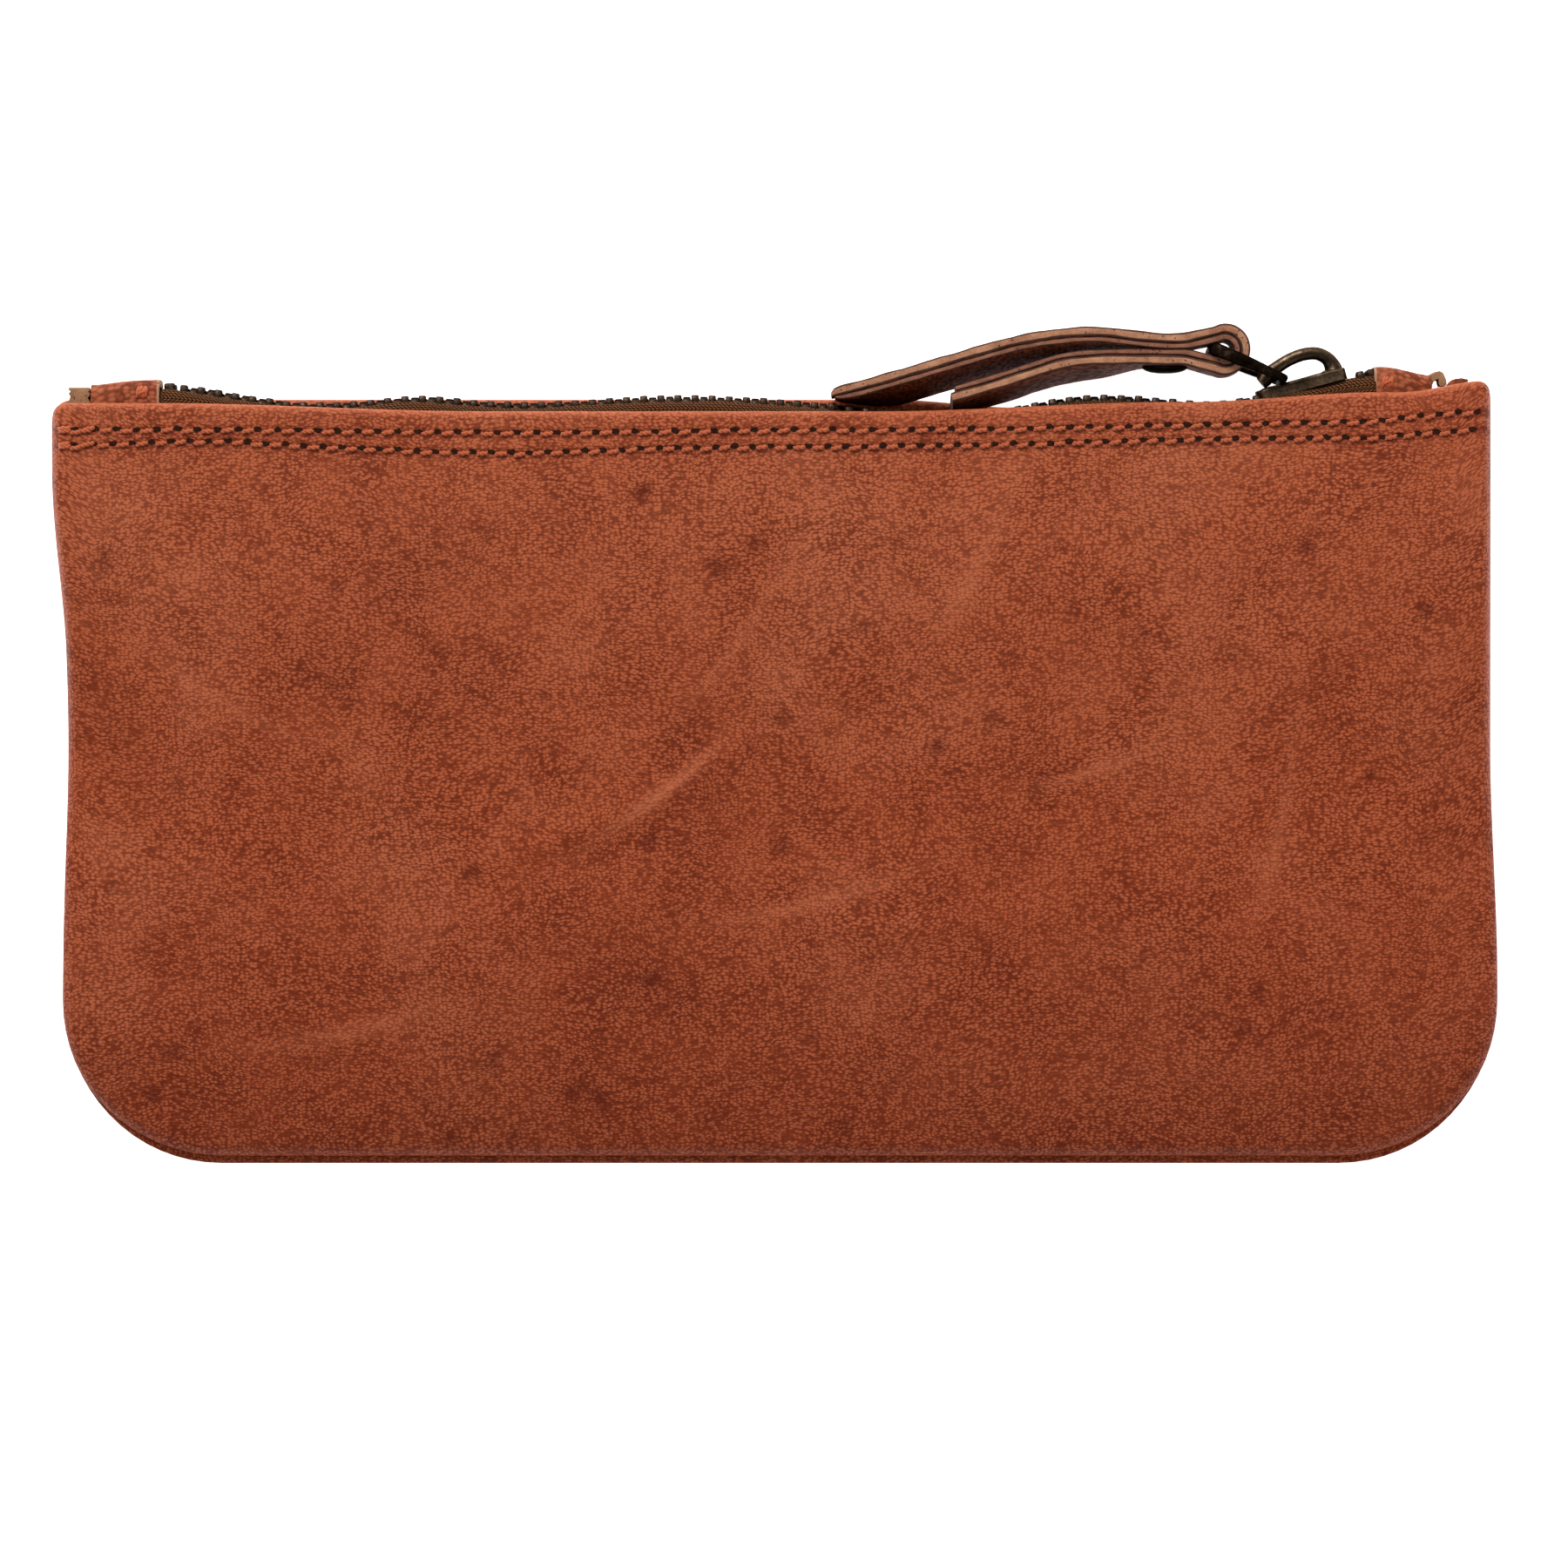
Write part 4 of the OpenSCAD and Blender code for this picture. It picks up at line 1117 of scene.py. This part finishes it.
def slider_bridge():
    """Open hook: a foot by the mouths, an arch, and a flared tip that stops short of the plate."""
    top = 2.25
    path = spline([(5.4, top - 0.3), (5.4, top + 0.8), (4.9, top + 2.1), (3.6, top + 3.2), (1.6, top + 3.6),
                   (-0.8, top + 3.35), (-3.0, top + 2.65), (-4.6, top + 1.85), (-5.4, top + 1.3),
                   (-5.8, top + 1.1)], 5)
    k = np.linspace(0, 1, len(path))
    heights = 1.9 + 0.9 * bump(k, 0.0, 0.16) + 0.6 * bump(k, 0.82, 0.12)
    widths = 2.5 + 1.0 * bump(k, 0.0, 0.12) + 0.2 * bump(k, 0.95, 0.1)
    shape = Shape()
    loft(shape, swept(path, widths, heights, from_slider))
    # The foot's ridge along the plate.
    foot = spline([(6.4, top - 0.35), (5.6, top + 0.05), (4.4, top + 0.1), (3.2, top - 0.2)], 4)
    loft(shape, swept(foot, np.full(len(foot), 2.2), np.full(len(foot), 0.7), from_slider))
    rear = spline([(-3.4, top - 0.3), (-4.6, top - 0.05), (-5.8, top - 0.1), (-6.4, top - 0.4)], 4)
    loft(shape, swept(rear, np.full(len(rear), 2.4), np.full(len(rear), 0.5), from_slider))
    obj = shape.build("slider_hook_bridge", [SLIDER], 50)
    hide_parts("slider_bridge")
    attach(obj, "slider")


slider_bridge()


# ---- Link and strap ----------------------------------------------------------------


def pull_link():
    """Oblong ring, narrower where it hangs in the hook."""
    span = LOOP_AT[:2] - LINK_AT[:2]
    long = float(np.hypot(*span))
    ux, uy = span / long
    half = 5.6
    r = 1.3
    pts = []
    for cx, cz, start in ((long + 0.2 - r, half - r, 0), (r - 0.1, half - r, 90), (r - 0.1, r - half, 180),
                          (long + 0.2 - r, r - half, 270)):
        for q in np.linspace(0, 90, 7):
            q = math.radians(start + q)
            pts.append((cx + r * math.cos(q), cz + r * math.sin(q)))
    pts = np.array(pts)
    dense = []
    for a, b in zip(pts, np.roll(pts, -1, 0)):
        n = max(1, int(np.hypot(*(b - a)) / 0.8))
        dense += [a + (b - a) * i / n for i in range(n)]
    path = np.array(dense)
    t = np.roll(path, -1, 0) - np.roll(path, 1, 0)
    t /= np.linalg.norm(t, axis=1)[:, None]
    out = np.stack([t[:, 1], -t[:, 0]], -1)
    rings = []
    for p, o in zip(path, out):
        f = p[0] / long
        # Only the side bars are deep: the end bar has to turn inside the loop.
        tall = 1.3 + (0.1 + 0.5 * smooth((abs(p[1]) - 4.4) / 0.8)) * smooth(f * 1.5)
        wide = 1.3 + 0.15 * smooth(f)
        sec = rounded_section(wide, tall, 0.3 * wide, 3)
        ring = []
        for s in sec:
            a, z, up = p[0] + o[0] * s[0], p[1] + o[1] * s[0], s[1]
            ring.append((LINK_AT[0] + ux * a - uy * up, LINK_AT[1] + uy * a + ux * up, ZIP_Z + z))
        rings.append(ring)
    rings.append(rings[0])
    shape = Shape()
    loft(shape, rings, caps=False, flip=True)
    obj = shape.build("oblong_pull_link", [SLIDER], 60)
    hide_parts("pull_link")
    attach(obj, "link")


pull_link()

LOOP_R = 2.45
LOOP_C = (1.5, -0.05)
# The line between the plies, from the upper tail round the link's bar to the lower tail.
strap_points = ([(-58.3, -7.2), (-55.3, -6.6), (-52.3, -5.9), (-47.2, -4.5), (-41.3, -2.75), (-35.4, -1.0),
                 (-29.5, 0.55),
                 (-23.6, 1.5), (-17.7, 1.85), (-11.9, 1.3), (-7.7, 0.96), (-4.6, 1.0), (-2.4, 1.45)]
                + [(LOOP_C[0] + LOOP_R * math.cos(a), LOOP_C[1] + LOOP_R * math.sin(a))
                   for a in np.radians(np.arange(120, -121, -24))]
                + [(-2.4, -1.5), (-4.6, -1.0), (-7.7, -0.92), (-12.3, -0.88), (-19.0, -1.1),
                   (-23.3, -1.65), (-27.0, -2.75),
                   (-33.2, -4.75), (-37.5, -6.0), (-40.2, -6.75)])
line = spline(strap_points, 6) + LOOP_AT[:2]
at = lengths(line) / lengths(line)[-1]
# Twist: the front edge stands higher than the back edge along the two free tails.
twist = np.radians(18.0 * smooth(at / 0.10) * smooth((0.46 - at) / 0.16) + 13.0 * smooth((at - 0.70) / 0.12))
line[:, 1] -= np.sin(twist) * 4.0


def ply(name, node, inner, outer, mats, half, seed, ends):
    """One ply of the strap. Grain on its two faces, cut fibres along its edges."""
    t = tangents(line)
    n = np.stack([-t[:, 1], t[:, 0]], -1)
    lo, hi = ends
    use = np.where((at >= lo) & (at <= hi))[0]
    run = lengths(line)
    rings, mat_ids = [], None
    r = 0.28
    thick = outer - inner
    sec = rounded_section(thick, 2 * half, min(r, thick * 0.3), 3)
    m = len(sec)
    for i in use:
        a = at[i]
        edge = 1 + 0.012 * math.sin(a * 160 + seed) + 0.008 * math.sin(a * 410)
        ring = []
        for k, s in enumerate(sec):
            off = (inner + outer) / 2 + s[0] * (1 + 0.08 * math.sin(a * 90 + seed))
            # The tip is skived thin.
            off *= 1 - 0.6 * (1 - math.sqrt(1 - (1 - min(1, (run[i] - run[use[0]]) / 3.2)) ** 2))
            z = s[1] * edge
            tw = twist[i]
            cup = 0.004 * (z * z - half * half)
            # The inner ply is squeezed thicker round the loop.
            squeeze = 0.2 * min(inner, 0) * (s[0] < 0) * smooth((line[i, 0] - LOOP_AT[0] + 6.5) / 4)
            d = off + cup + squeeze
            x = line[i, 0] + n[i, 0] * d
            y = line[i, 1] + n[i, 1] * d + z * math.sin(tw)
            ring.append((x, y, ZIP_Z + z * math.cos(tw)))
        rings.append(ring)
    rings = np.array(rings)
    count = len(rings)
    along = lengths(rings.mean(1))
    around = lengths(np.vstack([rings[count // 2], rings[count // 2][:1]]))[:-1]
    uv = np.stack(np.meshgrid(along, around, indexing="ij"), -1)
    faces = grid_faces(count, m, True)
    mat = []
    for _ in range(count - 1):
        for c in range(m):
            mid = (sec[c] + sec[(c + 1) % m]) / 2
            mat.append(1 if abs(mid[1]) > half - r * 0.6 else 0)
    first, last = list(range(m)), [(count - 1) * m + i for i in range(m)]
    faces += [tuple(last), tuple(first[::-1])]
    mat += [1, 1]
    across = np.tile(sec[:, 0] / (thick / 2), count)
    shape = Shape().add(rings, faces, uv, mat, across=across)
    obj = shape.build(name, mats, 55)
    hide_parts(node)
    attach(obj, "pull_strap")
    return obj


ply("strap_outer_ply", "strap_outer", 0.05, 1.5, [STRAP, CUT], 4.65, 1.0, (0.0, 1.0))
ply("strap_inner_ply", "strap_lining", -0.88, -0.03, [PLY, PLY_CUT], 4.55, 4.0, (0.004, 0.995))


def turned(name, node, profile, at_y, up, material):
    """A round rivet head or cap, from its profile of radius and height."""
    shape = Shape()
    x = (box_mm(node)[0][0] + box_mm(node)[1][0]) / 2
    n = 40
    rings = []
    for r, h in profile:
        a = np.linspace(0, 2 * math.pi, n, endpoint=False)
        rings.append(np.stack([x + r * np.cos(a), np.full(n, at_y + up * h), ZIP_Z + r * np.sin(a)], -1))
    loft(shape, rings, flip=up < 0)
    obj = shape.build(name, [material], 50)
    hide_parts(node)
    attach(obj, "pull_strap")
    return obj


neck_low = LOOP_AT[1] - 0.93 - 1.5
neck_high = LOOP_AT[1] + 0.98 + 1.5 - 0.2
dome = [(0.9, -5.0), (1.1, -0.2), (3.1, -0.15), (3.45, 0.05), (3.5, 0.22), (3.35, 0.42), (2.9, 0.68),
        (2.2, 0.9),
        (1.3, 1.02), (0.5, 1.06), (0.05, 1.07)]
turned("rivet_head", "rivet_post", dome, neck_low, -1, RIVET)
cap = [(0.6, -0.5), (2.2, -0.3), (2.45, -0.1), (2.45, 0.06), (2.2, 0.2), (1.2, 0.27), (0.05, 0.29)]
turned("rivet_cap_disc", "rivet_cap", cap, neck_high, 1, RIVET)

frame["nodes"]["seam_stitching"].data.materials.clear()
frame["nodes"]["seam_stitching"].data.materials.append(THREAD)


# ---- Stage -------------------------------------------------------------------------


def floor():
    mesh = bpy.data.meshes.new("floor")
    s = 6.0
    mesh.from_pydata([(-s, -s, 0), (s, -s, 0), (s, s, 0), (-s, s, 0)], [], [(0, 1, 2, 3)])
    t = Tree("pale_floor")
    t.bsdf.inputs["Emission Color"].default_value = (1, 1, 1, 1)
    t.bsdf.inputs["Emission Strength"].default_value = 0.95
    mesh.materials.append(t.finish((0.93, 0.93, 0.93), 0.7, Specular_IOR_Level=0.1))
    obj = bpy.data.objects.new("floor", mesh)
    bpy.context.collection.objects.link(obj)


floor()


def area_light(name, place, target, size, power, colour=(1, 1, 1)):
    data = bpy.data.lights.new(name, "AREA")
    data.shape, data.size, data.energy, data.color = "DISK", size, power, colour
    obj = bpy.data.objects.new(name, data)
    obj.location = place
    aim = np.array(target, float) - np.array(place, float)
    obj.rotation_mode = "QUATERNION"
    obj.rotation_quaternion = Vector(aim).to_track_quat("-Z", "Y")
    bpy.context.collection.objects.link(obj)


area_light("key_softbox", (-0.30, 0.95, 0.85), (0, 0, 0), 0.6, 13)
area_light("fill_softbox", (0.9, -0.5, 0.9), (0, 0, 0), 0.9, 2)

world = bpy.data.worlds.new("studio")
world.use_nodes = True
world.node_tree.nodes["Background"].inputs[0].default_value = (1, 1, 1, 1)
world.node_tree.nodes["Background"].inputs[1].default_value = 0.42
scene = bpy.context.scene
scene.world = world
scene.view_settings.view_transform = "Standard"
scene.view_settings.look = "None"

cam_data = bpy.data.cameras.new("camera")
cam_data.sensor_width = 36
CAMERA_H = 1.2
VIEW_W = 2 * HALF_W * 240 / 220 * MM
cam_data.lens = 36 * (CAMERA_H - 0.005) / VIEW_W
camera = bpy.data.objects.new("camera", cam_data)
camera.location = (0.00067, 0, CAMERA_H)
bpy.context.collection.objects.link(camera)
scene.camera = camera
